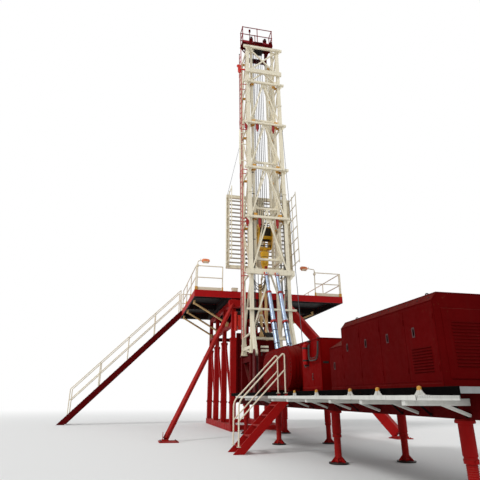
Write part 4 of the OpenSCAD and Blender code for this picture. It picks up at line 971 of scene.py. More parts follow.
# ---------------------------------------------------------------- crown
def make_crown():
    red, dark, grate, hub = shapes(4, ON_MAST)
    # Cheek plates at the axle, and rope guards over the sheaves
    for s in SIDES:
        x = s * (UPPER_X + 0.060)
        red.turned((x, SHEAVE_V, SHEAVE_W), (x + s, SHEAVE_V, SHEAVE_W),
                   [(0, 0.13), (0.012, 0.13), (0.02, 0.10), (0.035, 0.09)])
        for a, b in around(6, 0.108):
            dark.bolt((x + s * 0.012, SHEAVE_V + a, SHEAVE_W + b), (s, 0, 0), 0.012, 0.012, False)
        arc = [math.radians(t) for t in range(25, 86, 10)]
        pts = [(SHEAVE_V + s * 0.372 * math.cos(t), SHEAVE_W + 0.372 * math.sin(t)) for t in arc]
        for p, q in zip(pts, pts[1:]):
            v, w = (p[0] + q[0]) / 2, (p[1] + q[1]) / 2
            red.bar((-0.24, v, w), (0.24, v, w), 0.012, 0.060, 0.002, (0, p[0] - q[0], p[1] - q[1]))
    # Walkway grating laid over the platform, with its kick plate
    z = PLATE_W + 0.010
    y0, y1 = CROWN_NEAR + 0.02, CROWN_NEAR + CROWN_D - 0.02
    for x in np.arange(-CROWN_HALF + 0.03, CROWN_HALF - 0.02, 0.045):
        grate.box((x, y0, z + 0.0005), (x + 0.006, y1, z + 0.026), 0.001)
    for y in np.linspace(y0, y1, 7):
        grate.pad(0, y, CROWN_HALF - 0.02, 0.004, z + 0.0005, z + 0.024, 0.001)
    red.box((-CROWN_HALF, CROWN_NEAR - 0.002, z - 0.04), (CROWN_HALF, CROWN_NEAR + 0.006, z + 0.11), 0.003)
    # Rail joints and feet
    for x, y in product((-CROWN_HALF + 0.03, 0, CROWN_HALF - 0.03), (y0 + 0.01, y1 - 0.01)):
        for h in (RAIL_H * 0.52, RAIL_H - 0.012):
            red.ring((x, y, z + h), Z, 0.0245, 0.070, 0.008, 16)
        red.pad(x, y, 0.05, 0.04, z, z + 0.014, 0.003)
        for d in (-0.036, 0.036):
            dark.bolt((x + d, y, z + 0.014), Z, 0.010, 0.010, False)
    # Grooved wheels on their stands
    y, z = CROWN_NEAR + 0.24, PLATE_W + 0.50
    wheel = [(0, 0.05), (0.001, 0.150), (0.008, 0.156), (0.034, 0.128), (0.054, 0.128), (0.080, 0.156),
             (0.088, 0.150), (0.089, 0.05)]
    for x in (-0.310, 0.480):
        dark.turned((x - 0.044, y, z), (x + 0.1, y, z), wheel, 36)
        dark.rod((x - 0.105, y, z), (x + 0.105, y, z), 0.035)
        for s in SIDES:
            red.plate(rounded([(-0.09, 0), (0.09, 0), (0.07, 0.24), (-0.07, 0.24)], 1), 0.014,
                      sideways(x + s * 0.082 - 0.007, y, PLATE_W + 0.36))
    make_all("upper_mast", (red, "crown_fittings", "crown_red"), (dark, "crown_iron", "iron"),
             (grate, "crown_grating", "iron"))
    # Hubs at the ends of the sheaves, and round bosses on their webs
    for x in (-0.225, 0.225):
        hub.ring((x, SHEAVE_V, SHEAVE_W), X, 0.062, 0.02, 0.055)
    for i, (a, b) in product(range(5), around(6, 0.19)):
        x, v, w = -0.18 + 0.09 * i, SHEAVE_V + a, SHEAVE_W + b
        hub.turned((x - 0.037, v, w), (x + 0.037, v, w), [(0, 0.028), (0.074, 0.028)], 12)
    hub.made("crown_sheave_hubs", "sheave_iron", "crown_sheaves")


# ---------------------------------------------------------------- machinery
def make_guard():
    """The drum's cover: a thick rounded box with a rolled rim and a flange of bolts on its outer face."""
    r, z0 = 0.565, DECK_Z + 0.050
    z1 = z0 + 2 * r
    x_out, x_in = -1.2303, -0.8503
    ends = (-6.400 - r, -9.300 + r)

    def outline(radius, n=20):
        """The guard's long round outline in Y and Z, each end in n steps."""
        return [(y + radius * math.cos(a), z0 + r + radius * math.sin(a)) for y, start in zip(ends, (0.5, -0.5))
                for a in (start * math.pi - math.pi * i / n for i in range(n + 1))]

    body, rim, bolts = shapes(3)
    # Lofted shell: rounded shoulders at both faces, a swage across the band
    steps = [(x_out, -0.055), (x_out + 0.006, -0.030), (x_out + 0.020, -0.011), (x_out + 0.045, 0), (x_out + 0.120, 0),
             (x_out + 0.128, -0.007), (x_out + 0.252, -0.007), (x_out + 0.260, 0), (x_in - 0.030, 0),
             (x_in - 0.008, -0.008), (x_in, -0.030)]
    verts = [(x, y, z) for x, dr in steps for y, z in outline(r + dr)]
    body.add(verts, skinned(len(verts) // len(steps), len(steps)))
    # Pressed panel on the outer face, and stiffening ribs
    rim.plate(outline(r - 0.105), 0.010, sideways(x_out, 0, 0, normal=-1), 0.006)
    for y in (-7.35, -8.35):
        rim.box((x_out - 0.016, y - 0.030, z0 + 0.16), (x_out + 0.001, y + 0.030, z1 - 0.16))
    for x, dr, thick in ((x_out + 0.012, -0.012, 0.011), (x_out + 0.190, -0.002, 0.007)):
        rim.tube([(x, y, z) for y, z in outline(r + dr)], thick, 8, True)
    rows = [(ends[0] + (ends[1] - ends[0]) * i / 9, z) for i in range(1, 9) for z in (z0 + 0.080, z1 - 0.080)]
    for y, z in outline(r - 0.080, 16) + rows:
        bolts.bolt((x_out - 0.001, y, z), (-1, 0, 0), 0.014, 0.012)
    # Inspection door on the outer face with handle and hinges, and feet
    rim.box((x_out - 0.022, -8.12, z0 + 0.36), (x_out - 0.008, -7.58, z0 + 0.80), 0.010)
    handle = [(x_out - out, -7.66, z0 + z) for out, z in ((0.02, 0.53), (0.055, 0.53), (0.055, 0.65), (0.02, 0.65))]
    bolts.tube(bent(handle, 0.015), 0.007, 8)
    for z in (z0 + 0.42, z0 + 0.74):
        bolts.rod((x_out - 0.022, -8.14, z - 0.04), (x_out - 0.022, -8.14, z + 0.04), 0.012, 10)
    for y in (-6.95, -8.75):
        body.box((x_out + 0.03, y - 0.14, DECK_Z + 0.0005), (x_in - 0.03, y + 0.14, z0 + 0.05), 0.012)
    for y in (-7.2, -8.5):
        bolts.ring((-1.04, y, z1 + 0.030), X, 0.022, 0.020, 0.014, 20)
    make_all("substructure", (body, "drum_guard_shell", "guard_red", "drum_guard"),
             (rim, "drum_guard_rim", "guard_red"), (bolts, "drum_guard_bolts", "iron"))


def drum(shape, x, y, z, length, bore, core, flange, thick, sides):
    """A bare winch drum between two flanges; bore, core and flange are radii."""
    edge, step = 0.001, 0.002
    shape.turned((x, y, z), (x + 1, y, z), [
        (0, bore), (edge, flange), (thick, flange), (thick + step, core), (length - thick - step, core),
        (length - thick, flange), (length, flange), (length + edge, bore)], sides)


def make_drawworks():
    """Two-drum winch on its frame: side plates, drum with laid rope, brake disc, gear case and motor."""
    y0, y1, x0 = -6.500, -9.000, -0.850
    frame_, iron, line, drive, bay = shapes(5)
    z = DECK_Z + 0.0005
    for x in (x0 + 0.06, 0.86):
        frame_.box((x - 0.06, y1, z), (x + 0.04, y0, z + 0.16), 0.010)
    for y in (y0 - 0.10, (y0 + y1) / 2, y1 + 0.10):
        frame_.box((x0 + 0.10, y - 0.06, z + 0.01), (0.80, y + 0.06, z + 0.14), 0.008)
    yc, zc = y0 - 0.72, DECK_Z + 0.50
    side = [(y0 - y, z + h) for y, h in ((2.05, 0.14), (1.75, 0.50), (1.30, 0.55), (0.95, 0.745), (0.52, 0.74),
                                         (0.30, 0.62), (0.12, 0.14))]
    for x in (x0 + 0.02, 0.30):
        frame_.plate(side, 0.035, sideways(x, 0, 0), 0.006)
        frame_.ring((x + 0.018, yc, zc), X, 0.07, 0.075, 0.05, 24)
    # Main drum with its rope, shaft and brake disc
    drum(iron, x0 + 0.06, yc, zc, 1.052, 0.05, 0.150, 0.246, 0.030, 40)
    turn = [(0.003, 0.163), (0.011, 0.172), (0.019, 0.176), (0.027, 0.172), (0.035, 0.163)]
    line.turned((x0 + 0.094, yc, zc), (0.30, yc, zc), [(0, 0.14)] + repeated(30, 0.0325, turn) + [(0.984, 0.14)], 32)
    iron.rod((x0 + 0.01, yc, zc), (0.52, yc, zc), 0.045, 24)
    iron.turned((0.36, yc, zc), (0.46, yc, zc), [(0, 0.06), (0.001, 0.230), (0.018, 0.235), (0.020, 0.11),
                                                 (0.034, 0.11), (0.036, 0.235), (0.054, 0.230), (0.056, 0.06)], 40)
    # Gear case with ribs, finned motor on its feet, and the case over its end
    drive.box((0.52, y0 - 1.10, z + 0.10), (0.86, y0 - 0.34, z + 0.74), 0.040)
    for i in range(7):
        y = y0 - 0.10 * i
        drive.box((0.50, y - 0.42, z + 0.16), (0.52, y - 0.40, z + 0.68), 0.003)
    fins = repeated(16, 0.034, [(0.05, 0.172), (0.055, 0.196), (0.066, 0.196), (0.071, 0.172)])
    drive.turned((0.02, y0 - 1.62, z + 0.36), (0.9, y0 - 1.62, z + 0.36), [(0, 0.05), (0.005, 0.16), (0.03, 0.185)] +
                 fins + [(0.61, 0.185), (0.64, 0.20), (0.70, 0.20), (0.73, 0.15), (0.76, 0.06)], 32)
    for x in (0.12, 0.50):
        drive.box((x, y0 - 1.78, z + 0.14), (x + 0.08, y0 - 1.46, z + 0.24))
    drive.box((0.66, y0 - 1.90, z + 0.12), (0.86, y0 - 1.14, z + 0.52), 0.030)
    # Second, smaller drum and the lever stand
    yc, zc = y0 - 1.72, z + 0.33
    drum(iron, x0 + 0.08, yc, zc, 0.644, 0.04, 0.10, 0.165, 0.022, 32)
    turn = [(0.002, 0.108), (0.014, 0.118), (0.0246, 0.108)]
    line.turned((x0 + 0.106, yc, zc), (0, yc, zc), [(0, 0.09)] + repeated(24, 0.0246, turn) + [(0.595, 0.09)], 28)
    for i in range(4):
        x = 0.34 + 0.07 * i
        lever = [(x, y1 + 0.32, z + 0.14), (x, y1 + 0.26, z + 0.45), (x, y1 + 0.34, z + 0.66)]
        iron.tube(bent(lever, 0.08), 0.012, 10)
        iron.turned((x, y1 + 0.335, z + 0.64), (x, y1 + 0.36, z + 0.72),
                    [(0, 0.014), (0.02, 0.024), (0.05, 0.026), (0.07, 0.016)], 12)
    drive.box((0.28, y1 + 0.20, z + 0.10), (0.62, y1 + 0.42, z + 0.24), 0.012)
    # Wall of the winch bay, seen above the guard, with its coping and stiffeners
    xw, low, high = -0.840, 2.552, 2.690
    bay.box((xw, TANK_Y, 1.260), (xw + 0.012, -7.900, high), 0.003)
    bay.box((xw, RECESS_Y, low), (xw + 0.012, TANK_Y, high), 0.003)
    bay.box((xw - 0.010, RECESS_Y, high - 0.014), (xw + 0.024, -7.900, high + 0.006), 0.004)
    for y in (-9.90, -9.10, -8.30):
        bay.box((xw + 0.012, y - 0.020, low), (xw + 0.060, y + 0.020, high - 0.014), 0.003)
    make_all("substructure", (frame_, "winch_frame", "dark_red", "drawworks"), (bay, "winch_bay_wall", "tank_red"),
             (iron, "winch_drums", "iron"), (line, "winch_rope", "rope"), (drive, "winch_drive", "machine_red"))


def make_tank():
    """Tank with a recess beside the drum guard; seams, cap and the fittings on its near side."""
    x, x2, y1, z0, z1 = -DECK_X, DECK_X - 0.100, -11.350, DECK_Z, DECK_Z + 1.100
    shell, skin, iron, hose, acc = shapes(5)
    plan = [(x, y1), (x2, y1), (x2, TANK_Y), (-0.840, TANK_Y), (-0.840, RECESS_Y), (x, RECESS_Y)]
    shell.plate(plan, z1 - z0 - 0.0005, Matrix.Translation((0, 0, z0 + 0.0003)), 0.006)
    shell.made("tank_shell", "tank_red", "substructure", "fluid_tank")
    # Weld seams standing a little proud of every edge
    for p, q in zip(plan, plan[1:] + plan[:1]):
        skin.rod((*p, z1), (*q, z1), 0.010, 10, 0.001)
        skin.rod((*p, z0 + 0.01), (*p, z1), 0.010, 10, 0.001)
    for xs, y, r in ((x - 0.001, -10.86, 0.004), (x2 + 0.001, -10.02, 0.006), (x2 + 0.001, -10.68, 0.006)):
        skin.tube([(xs, y, z0 + 0.02), (xs, y, z1 - 0.01)], r, 6)
    skin.box((x - 0.012, RECESS_Y - 0.02, z0 + 0.04), (x, y1 + 0.02, z0 + 0.085), 0.004)
    # Filler cap on its plate, and a bent vent pipe
    skin.box((-0.25, -10.75, z1), (0.35, -10.15, z1 + 0.020))
    skin.stood(0.05, -10.45, z1 + 0.02, [(0, 0.21), (0.05, 0.21), (0.06, 0.235), (0.085, 0.235), (0.10, 0.20),
                                         (0.115, 0.10), (0.12, 0.02)], 32)
    for a, b in around(12, 0.222):
        iron.bolt((0.05 + a, -10.45 + b, z1 + 0.105), Z, 0.013, 0.012, False)
    vent = [(-0.70, y, z1 + h) for y, h in ((-9.70, -0.01), (-9.70, 0.16), (-9.86, 0.16), (-9.86, 0.08))]
    iron.tube(bent(vent, 0.05), 0.025, 12)
    # Slots with their frames
    iron.box((x - 0.006, -10.845, 1.68), (x + 0.004, -10.775, 1.82), 0.010)
    iron.box((-1.205, y1 - 0.006, 2.01), (-1.075, y1 + 0.002, 2.055))
    skin.ring((x - 0.006, -10.81, 1.75), X, 0.040, 0.014, 0.012, 20)
    # Upright red cylinder in clamps, on its shelf
    xa, ya = x - 0.075, -10.58
    acc.stood(xa, ya, 2.015, [(0, 0.02), (0.004, 0.040), (0.03, 0.060), (0.05, 0.062), (0.40, 0.062), (0.44, 0.054),
                              (0.47, 0.030), (0.475, 0.02)], 28)
    acc.stood(xa, ya, 2.49, [(0, 0.018), (0.03, 0.018)], 16)
    for z in (2.11, 2.39):
        iron.ring((xa, ya, z), Z, 0.0622, 0.035, 0.006, 28)
        iron.box((x - 0.020, ya - 0.04, z - 0.02), (x, ya + 0.04, z + 0.02), 0.004)
    iron.box((x - 0.11, ya - 0.03, 1.985), (x, ya + 0.03, 2.012), 0.004)
    # U-shaped pipe and a thinner one inside it, fixed at both ends
    for inset, r in ((0.0, 0.016), (0.050, 0.008)):
        ya, yb, depth = -10.74 - inset, -11.335 + inset, 2.09 + inset
        path = [(x - 0.045, ya, 2.47), (x - 0.065, ya, depth), (x - 0.065, yb, depth), (x - 0.045, yb, 2.49)]
        hose.tube(bent(path, 0.26, 9), r, 12)
    for y, z, low, high in ((-10.74, 2.45, 2.51, 2.545), (-11.335, 2.48, 2.54, 2.552)):
        skin.stood(x - 0.045, y, z, [(0, 0.018), (0.005, 0.025), (0.045, 0.025), (0.05, 0.018), (0.08, 0.018)], 8)
        iron.box((x - 0.07, y - 0.035, low), (x, y + 0.035, high))
    iron.box((x - 0.05, -10.41, 2.36), (x, -10.31, 2.46), 0.008)
    make_all("substructure", (skin, "tank_trim", "tank_red"), (iron, "tank_fittings", "iron"),
             (hose, "tank_pipes", "rubber"), (acc, "accumulator", "red"))


LOUVRE_TILT = math.radians(-32)


def make_housing(y0, y1, h, cut, rise, doors, seams, iron, louvre, latch):
    """Seams, doors and fixings of one housing from y0 back to y1; cut and rise are those of its sloping eaves."""
    x, z = DECK_X, DECK_Z
    # Folded seams along the eaves and round both ends
    for s in SIDES:
        for px, pz in ((x, z + h), (x - cut, z + h + rise)):
            seams.tube([(s * px, y0 - 0.003, pz), (s * px, y1 + 0.003, pz)], 0.009, 8)
        seams.box((s * x - 0.010, y1, z + 0.002), (s * x + 0.010, y0, z + 0.050), 0.004)
    half = [(-x, z), (-x, z + h), (-x + cut, z + h + rise)]
    for y in (y0, y1):
        seams.tube([(px, y, pz) for px, pz in half + [(-px, pz) for px, pz in half[::-1]]], 0.008, 8)
    # Door panels on both sides, with hinges and latches
    w = (y0 - y1) / doors
    for s, i in product(SIDES, range(doors)):
        front = y0 - i * w
        back = front - w + 0.006
        seams.box((s * x - 0.005, back, z + 0.075), (s * x + 0.005, front - 0.006, z + h - 0.040), 0.003)
        for hinge in (z + 0.20, z + 0.20 + (h - 0.45)):
            p = (s * (x + 0.009), back + 0.012, hinge)
            seams.rod(p, (p[0], p[1], hinge + 0.08), 0.009, 10)
        y, zl = front - 0.230, z + (0.76 if doors > 1 else 0.46)
        latch.box((s * x - 0.010, y - 0.036, zl - 0.072), (s * (x + 0.008), y + 0.036, zl + 0.072), 0.005)
        seams.box((s * x, y - 0.024, zl - 0.058), (s * (x + 0.010), y + 0.024, zl + 0.058), 0.004)
        path = [(s * (x + out), y, zl + up) for out, up in ((0.008, 0.045), (0.024, 0.038), (0.024, -0.040),
                                                            (0.012, -0.048))]
        latch.tube(bent(path, 0.012), 0.007, 8)
        if doors > 1 and (i == 3 or (s > 0 and i > 0)):
            for j in range(9):
                m = Matrix.Translation((s * (x + 0.012), front - w / 2, z + 0.20 + j * 0.040))
                louvre.box((-0.012, -0.24, -0.003), (0.012, 0.24, 0.003), 0.001,
                           m @ Matrix.Rotation(s * LOUVRE_TILT, 4, "Y"))
    # Small fixings along the roof's edge, and lifting rings on the larger roof
    for s in SIDES:
        for y in np.arange(y1 + 0.12, y0 - 0.05, 0.28):
            iron.bolt((s * (x - cut * 0.5), y, z + h + rise * 0.5), (s * rise, 0, cut), 0.013, 0.010)
        for y in (y0 - 0.35, y1 + 0.35) if doors > 1 else ():
            iron.ring((s * (x - cut - 0.10), y, z + h + rise + 0.028), Y, 0.022, 0.018, 0.014, 20)


def make_housings():
    seams, iron, louvre, latch = shapes(4)
    make_housing(LOW_Y, ENGINE_Y, 0.820, 0.285, 0.167, 1, seams, iron, louvre, latch)
    make_housing(ENGINE_Y, SKID_END, 1.145, 0.095, 0.115, 4, seams, iron, louvre, latch)
    # End doors with their louvres
    z, y = DECK_Z, SKID_END
    for s in SIDES:
        seams.pad(s * 0.62, y, 0.50, 0.012, z + 0.10, z + 1.04, 0.010)
        for j in range(14):
            m = Matrix.Translation((s * 0.62, y - 0.014, z + 0.26 + j * 0.045)) @ Matrix.Rotation(LOUVRE_TILT, 4, "X")
            louvre.box((-0.38, -0.012, -0.003), (0.38, 0.012, 0.003), 0.001, m)
        iron.pad(s * 0.14, y - 0.020, 0.02, 0.010, z + 0.52, z + 0.66)
    make_all("substructure", (seams, "housing_seams", "machine_red"), (iron, "housing_fittings", "iron"),
             (louvre, "housing_louvres", "machine_red"), (latch, "housing_latches", "latch_grey"))


def make_deck():
    dark, white, cap, grate = shapes(4)
    x, z, wide = -DECK_X, DECK_Z - 0.110, 0.620
    # Painted shade: the deck's rim and the brackets under it are near black, for the shadow below the deck's edge
    for s in SIDES:
        dark.box((s * DECK_X - 0.012, DECK_BACK, z), (s * DECK_X + 0.012, DECK_FRONT, DECK_Z + 0.006), 0.004)
        for y in np.arange(DECK_BACK + 0.4, DECK_FRONT, 0.8):
            dark.bar((s * 0.891, y, DECK_Z - 0.38), (s * (DECK_X - 0.02), y, DECK_Z - 0.09), 0.06, 0.010)
    # Walkway in two lengths: edge angles, bearing bars, cross bars, hangers
    for y0, y1 in ((DECK_BACK, -9.200), (-8.180, -5.300)):
        for xx in (x - wide, x - 0.012):
            grate.box((xx, y0, z - 0.055), (xx + 0.010, y1, z + 0.004), 0.002)
        for y in (y0, y1 - 0.010):
            grate.box((x - wide, y, z - 0.055), (x - 0.002, y + 0.010, z + 0.004), 0.002)
        for xx in np.arange(x - 0.600, x - 0.01, 0.034):
            grate.box((xx, y0, z - 0.030), (xx + 0.006, y1, z), 0.0)
        for y in np.arange(y0 + 0.05, y1, 0.10):
            grate.box((x - 0.615, y, z - 0.020), (x - 0.005, y + 0.006, z + 0.001), 0.0)
        for y in np.arange(y0 + 0.30, y1 - 0.2, 1.2):
            grate.box((x - 0.600, y, z - 0.120), (-0.892, y + 0.080, z - 0.031))
            grate.bar((x - 0.05, y + 0.04, z - 0.10), (-0.895, y + 0.04, z - 0.24), 0.05, 0.04)
    # Pale feet with yellow caps between deck and walkway
    for y in (-9.75, -11.21, -12.88, -13.91, -15.10):
        for s in SIDES:
            white.plate([(0, 0), (s * 0.15, 0), (s * 0.035, 0.085), (0, 0.085)], 0.012, sideways(x - 0.10, y, z))
        white.box((x - 0.145, y - 0.16, z), (x - 0.045, y + 0.16, z + 0.012), 0.004)
        white.box((x - 0.125, y - 0.030, z + 0.010), (x - 0.060, y + 0.030, z + 0.075))
        cap.stood(x - 0.092, y, z + 0.070, [(0, 0.020), (0.002, 0.034), (0.045, 0.034), (0.055, 0.024),
                                            (0.062, 0.010)], 16)
    make_all("substructure", (dark, "deck_edge", "shade_black"), (white, "walkway_feet", "white"),
             (cap, "walkway_caps", "ochre"), (grate, "walkway_grating", "white", "side_walkway"))
    # Boarding rails bent from one tube each, with middle rails let in
    rails = Shape()
    for y in (-8.930, -8.280):
        p = Vector((x - 0.060, y, DECK_Z))
        q = p + Vector((-1.250, 0, -1.250))
        path = [e + Vector((0, 0, h)) for e, h in ((p, -0.038), (p, 1.010), (q, 1.005), (q, -0.038))]
        rails.tube(bent(path, 0.15, 8), 0.0205, 14)
        rails.tube([p + Vector((0, 0, 0.55)), q + Vector((0, 0, 0.55))], 0.0185, 12)
        for e in (p, q):
            rails.pad(e.x, e.y, 0.05, 0.035, e.z - 0.038, e.z - 0.026, 0.003)
    rails.made("boarding_rails", "rail_cream", "substructure", "boarding_handrails")


def make_jacks():
    iron, red = shapes(2)
    x, z1 = 0.800, DECK_Z - 0.080 - 0.320
    pitch = (14.300 - 1.300) / 3
    screw = repeated(14, 0.028, [(0.110, 0.0715), (0.122, 0.0795), (0.130, 0.0715)])
    profile = ([(0.036, 0.06), (0.040, 0.085), (0.075, 0.085), (0.090, 0.070), (0.100, 0.0705)] + screw +
               [(0.505, 0.0715), (0.510, 0.095), (0.560, 0.100), (0.575, 0.088), (0.590, 0.088), (0.600, 0.098)] +
               [(z1 - 0.06, 0.098), (z1 - 0.05, 0.135), (z1 - 0.02, 0.135), (z1, 0.12)])
    for s, i in product(SIDES, range(4)):
        y = DECK_FRONT - 0.700 - i * pitch
        red.stood(s * x, y, 0.0, profile)
        iron.stood(s * x, y, 0.0, [(0.0, 0.195), (0.004, 0.208), (0.022, 0.210), (0.030, 0.205), (0.038, 0.090)], 32)
        for k in range(6):
            m = Matrix.Translation((s * x, y, 0.030)) @ Matrix.Rotation(math.pi * k / 3, 4, "Z")
            red.plate([(0, 0), (0.115, 0), (0.010, 0.11), (0, 0.11)], 0.010, m @ upright(0.07, 0.005, 0), 0.001)
        for e in SIDES:
            red.pad(s * x, y + e * 0.11, 0.02, 0.006, 0.52, 0.56, 0.003)
    make_all("substructure", (red, "jack_screws", "red", "levelling_jacks"), (iron, "jack_pads", "iron"))


# ---------------------------------------------------------------- substructure and stair
def make_substructure():
    red, iron, bright, dark = shapes(4)
    sleeve, top = 0.245, 3.750
    beam_end = BACK_Y - 0.055
    for s in SIDES:
        x = s * COL_X
        for i in range(COLUMNS):
            y = COL_Y0 + i * COL_PITCH + COL / 2
            # Foot plate with gussets and bolts
            red.box((x - 0.128, y - 0.19, BASE_H), (x + 0.128, min(y + 0.19, beam_end), BASE_H + 0.022), 0.004)
            for e in SIDES:
                if y + e * 0.19 > beam_end:
                    continue
                red.plate([(0, 0), (0.062, 0), (0.010, 0.18), (0, 0.18)], 0.012,
                          sideways(x - 0.006, y + e * sleeve / 2, BASE_H + 0.02, e), 0.002)
                for bx in (-0.08, 0.08):
                    iron.bolt((x + bx, y + e * 0.160, BASE_H + 0.022), Z, 0.020, 0.016)
            # Locking pins through sleeve and column, with keepers
            for z in (1.10, top - 0.060):
                iron.rod((x - 0.175, y, z), (x + 0.175, y, z), 0.028)
                for e in SIDES:
                    red.ring((x + e * (sleeve / 2 + 0.014), y, z), X, 0.029, 0.024, 0.026, 20)
            # Spare pin holes up the inner column, as dark bushings
            for k in range(5):
                z = top + 0.20 + 0.26 * k
                if abs(z - 4.35) > 0.14:
                    for e in SIDES:
                        dark.ring((x + e * (COL / 2 + 0.001), y, z), X, 0.012, 0.006, 0.020, 16)
            for e, ey in product(SIDES, SIDES):
                iron.bolt((x + e * (sleeve / 2 + 0.012), y + ey * 0.085, top - 0.06), (e, 0, 0), 0.014, 0.012)
            # Gussets under the head beam, not past its ends
            for e in SIDES:
                if 0 <= i + e < COLUMNS:
                    red.plate([(0, 0), (0.22, 0), (0, -0.24)], 0.012,
                              sideways(x - 0.006, y + e * COL / 2, FLOOR_UNDER - 0.20, e), 0.002)
        # End plates of the ground beams
        for y in (FRONT_Y - 0.150, BACK_Y - 0.050):
            red.pad(x, y, 0.145, 0.006, 0.004, BASE_H + 0.004, 0.003)
        # Lattice stiffeners on the flanges of the ground beams
        for e in SIDES:
            for y in np.arange(FRONT_Y + 0.15, BACK_Y - 0.2, 0.55):
                red.pad(x + e * 0.128, y, 0.010, 0.006, 0.02, BASE_H - 0.02, 0.002)
    # Box and bright inner tube at the front-left column
    face = -0.8812
    bright.box((-0.890, -1.080, 4.080), (-0.720, face, 4.690), 0.012)
    bright.box((-0.905, -1.095, 4.675), (-0.705, face, 4.710))
    for z in (4.20, 4.50):
        bright.box((-0.720, -1.00, z - 0.03), (-0.62, -0.94, z + 0.03))
        iron.rod((-0.895, -1.10, z - 0.03), (-0.895, -1.10, z + 0.03), 0.010, 10)
    bright.stood(-0.975, -0.985, 4.030, [(0, 0.05), (0.002, 0.080), (0.04, 0.080), (0.05, 0.062), (0.78, 0.062),
                                         (0.79, 0.074), (0.83, 0.074), (0.835, 0.04)], 28)
    for z in (4.12, 4.74):
        bright.box((-1.03, -0.93, z - 0.03), (-0.92, face + 0.001, z + 0.03))
    rakers = make_rakers(iron)
    make_all("substructure", (rakers, "raker_beams", "red", "raker_legs"), (red, "substructure_plates", "red"),
             (iron, "substructure_pins", "iron"), (bright, "column_box", "latch_red"),
             (dark, "pin_holes", "dark_grey"))
    make_struts()


def make_rakers(iron):
    """Raker legs as photographed: a slim one on the left, a broad box beam on the right."""
    rakers = Shape()
    foot_x, head_x = 4.000, 1.100
    for s, head, foot, wide in ((-1, -1.320, -4.100, 0.135), (1, 1.130, 4.000, 0.330)):
        a, b = Vector((head, -1.950, 4.990)), Vector((foot, -5.230, 0.060))
        d, half = (b - a).normalized(), wide / 2 + 0.008
        rakers.bar(a - d * 0.02, b - d * (0.45 * wide - 0.03), wide, wide, 0.008)
        for t in (0.35, 3.1, 5.9):
            p = a + d * t
            rakers.box((-half, -half, -0.010), (half, half, 0.010), 0.003, along(p, p + d))
        rakers.box((s * foot_x - 0.300, -5.550, 0.0003), (s * foot_x + 0.300, -4.950, 0.030), 0.005)
        rakers.box((b.x - wide * 0.8, -5.36, 0.028), (b.x + wide * 0.8, -5.10, 0.075), 0.010)
        rakers.box((min(head, s * head_x) - 0.140, -2.000, 4.900),
                   (max(head, s * head_x) + 0.140, -1.6505, 5.200), 0.010)
        for e in SIDES:
            rakers.plate([(-0.10, 0), (0.12, 0), (0.02, 0.26), (-0.06, 0.26)], 0.012,
                         sideways(b.x + e * (wide / 2 + 0.010) - 0.006, -5.22, 0.030))
        for bx, by in product((-0.24, 0.24), (-5.47, -5.03)):
            iron.bolt((s * foot_x + bx, by, 0.030), Z, 0.030, 0.024)
    return rakers


def make_struts():
    """Tan struts pinned in lugs, flatter and further back than the plain ones, as photographed."""
    lugs, struts = shapes(2)
    zo = FLOOR_UNDER - 0.130
    for s, xo, zi, rows in ((-1, -LEFT_X - 0.120, 4.490, (-0.050, 2.600, 4.500)),
                            (1, 3.650, 4.380, (1.600, 4.500))):
        for y in rows:
            inner, outer = Vector((s * 1.225, y, zi)), Vector((s * xo, y, zo))
            d = (outer - inner).normalized()
            struts.rod(inner + d * 0.05, outer - d * 0.05, 0.046, 20)
            for p in (inner, outer):
                struts.rod(p - Vector((0, 0.048, 0)), p + Vector((0, 0.048, 0)), 0.056, 20)
                lugs.rod(p - Vector((0, 0.085, 0)), p + Vector((0, 0.085, 0)), 0.022, 14)
            near, far = sorted((s * 1.139, s * 1.270))
            for e in (y - 0.057, y + 0.057):
                lugs.box((near, e - 0.006, zi - 0.150), (far, e + 0.006, zi + 0.040), 0.004)
                lugs.pad(s * xo, e, 0.050, 0.006, zo - 0.045, FLOOR_UNDER + 0.001, 0.004)
    make_all("substructure", (struts, "wing_strut_rods", "tan", "wing_struts"), (lugs, "strut_lugs", "tan"))


def make_stair():
    rise = FLOOR_Z / RISERS
    grate, bolts = shapes(2)
    ya, yb = STAIR_Y + 0.0505, STAIR_Y + 0.0495 + STAIR_W
    for i in range(1, RISERS):
        z = FLOOR_Z - i * rise
        x = LEFT_X - 0.0003 - i * rise
        xa, xb = x - 0.095, x + 0.135
        for x in (xa, xb - 0.005):
            grate.box((x, ya, z - 0.032), (x + 0.005, yb, z), 0.0)
        for y in (ya, yb - 0.006):
            grate.box((xa, y, z - 0.060), (xb, y + 0.006, z), 0.0)
        grate.box((xa - 0.002, ya, z - 0.020), (xa + 0.018, yb, z + 0.002), 0.002)
        for k in range(1, 7):
            x = xa + (xb - xa) * k / 7
            grate.box((x, ya, z - 0.028), (x + 0.004, yb, z - 0.001), 0.0)
        for k in range(1, 10):
            y = ya + (yb - ya) * k / 10
            grate.box((xa, y, z - 0.016), (xb, y + 0.005, z - 0.001), 0.0)
        for (y, e), dx in product(((STAIR_Y, -1), (STAIR_Y + STAIR_W + 0.10, 1)), (0.07, 0.17)):
            bolts.bolt((xa + dx, y, z - 0.03), (0, e, 0), 0.012, 0.010)
    make_all("substructure", (grate, "stair_grating", "grey", "stair_treads"), (bolts, "stair_bolts", "iron"))


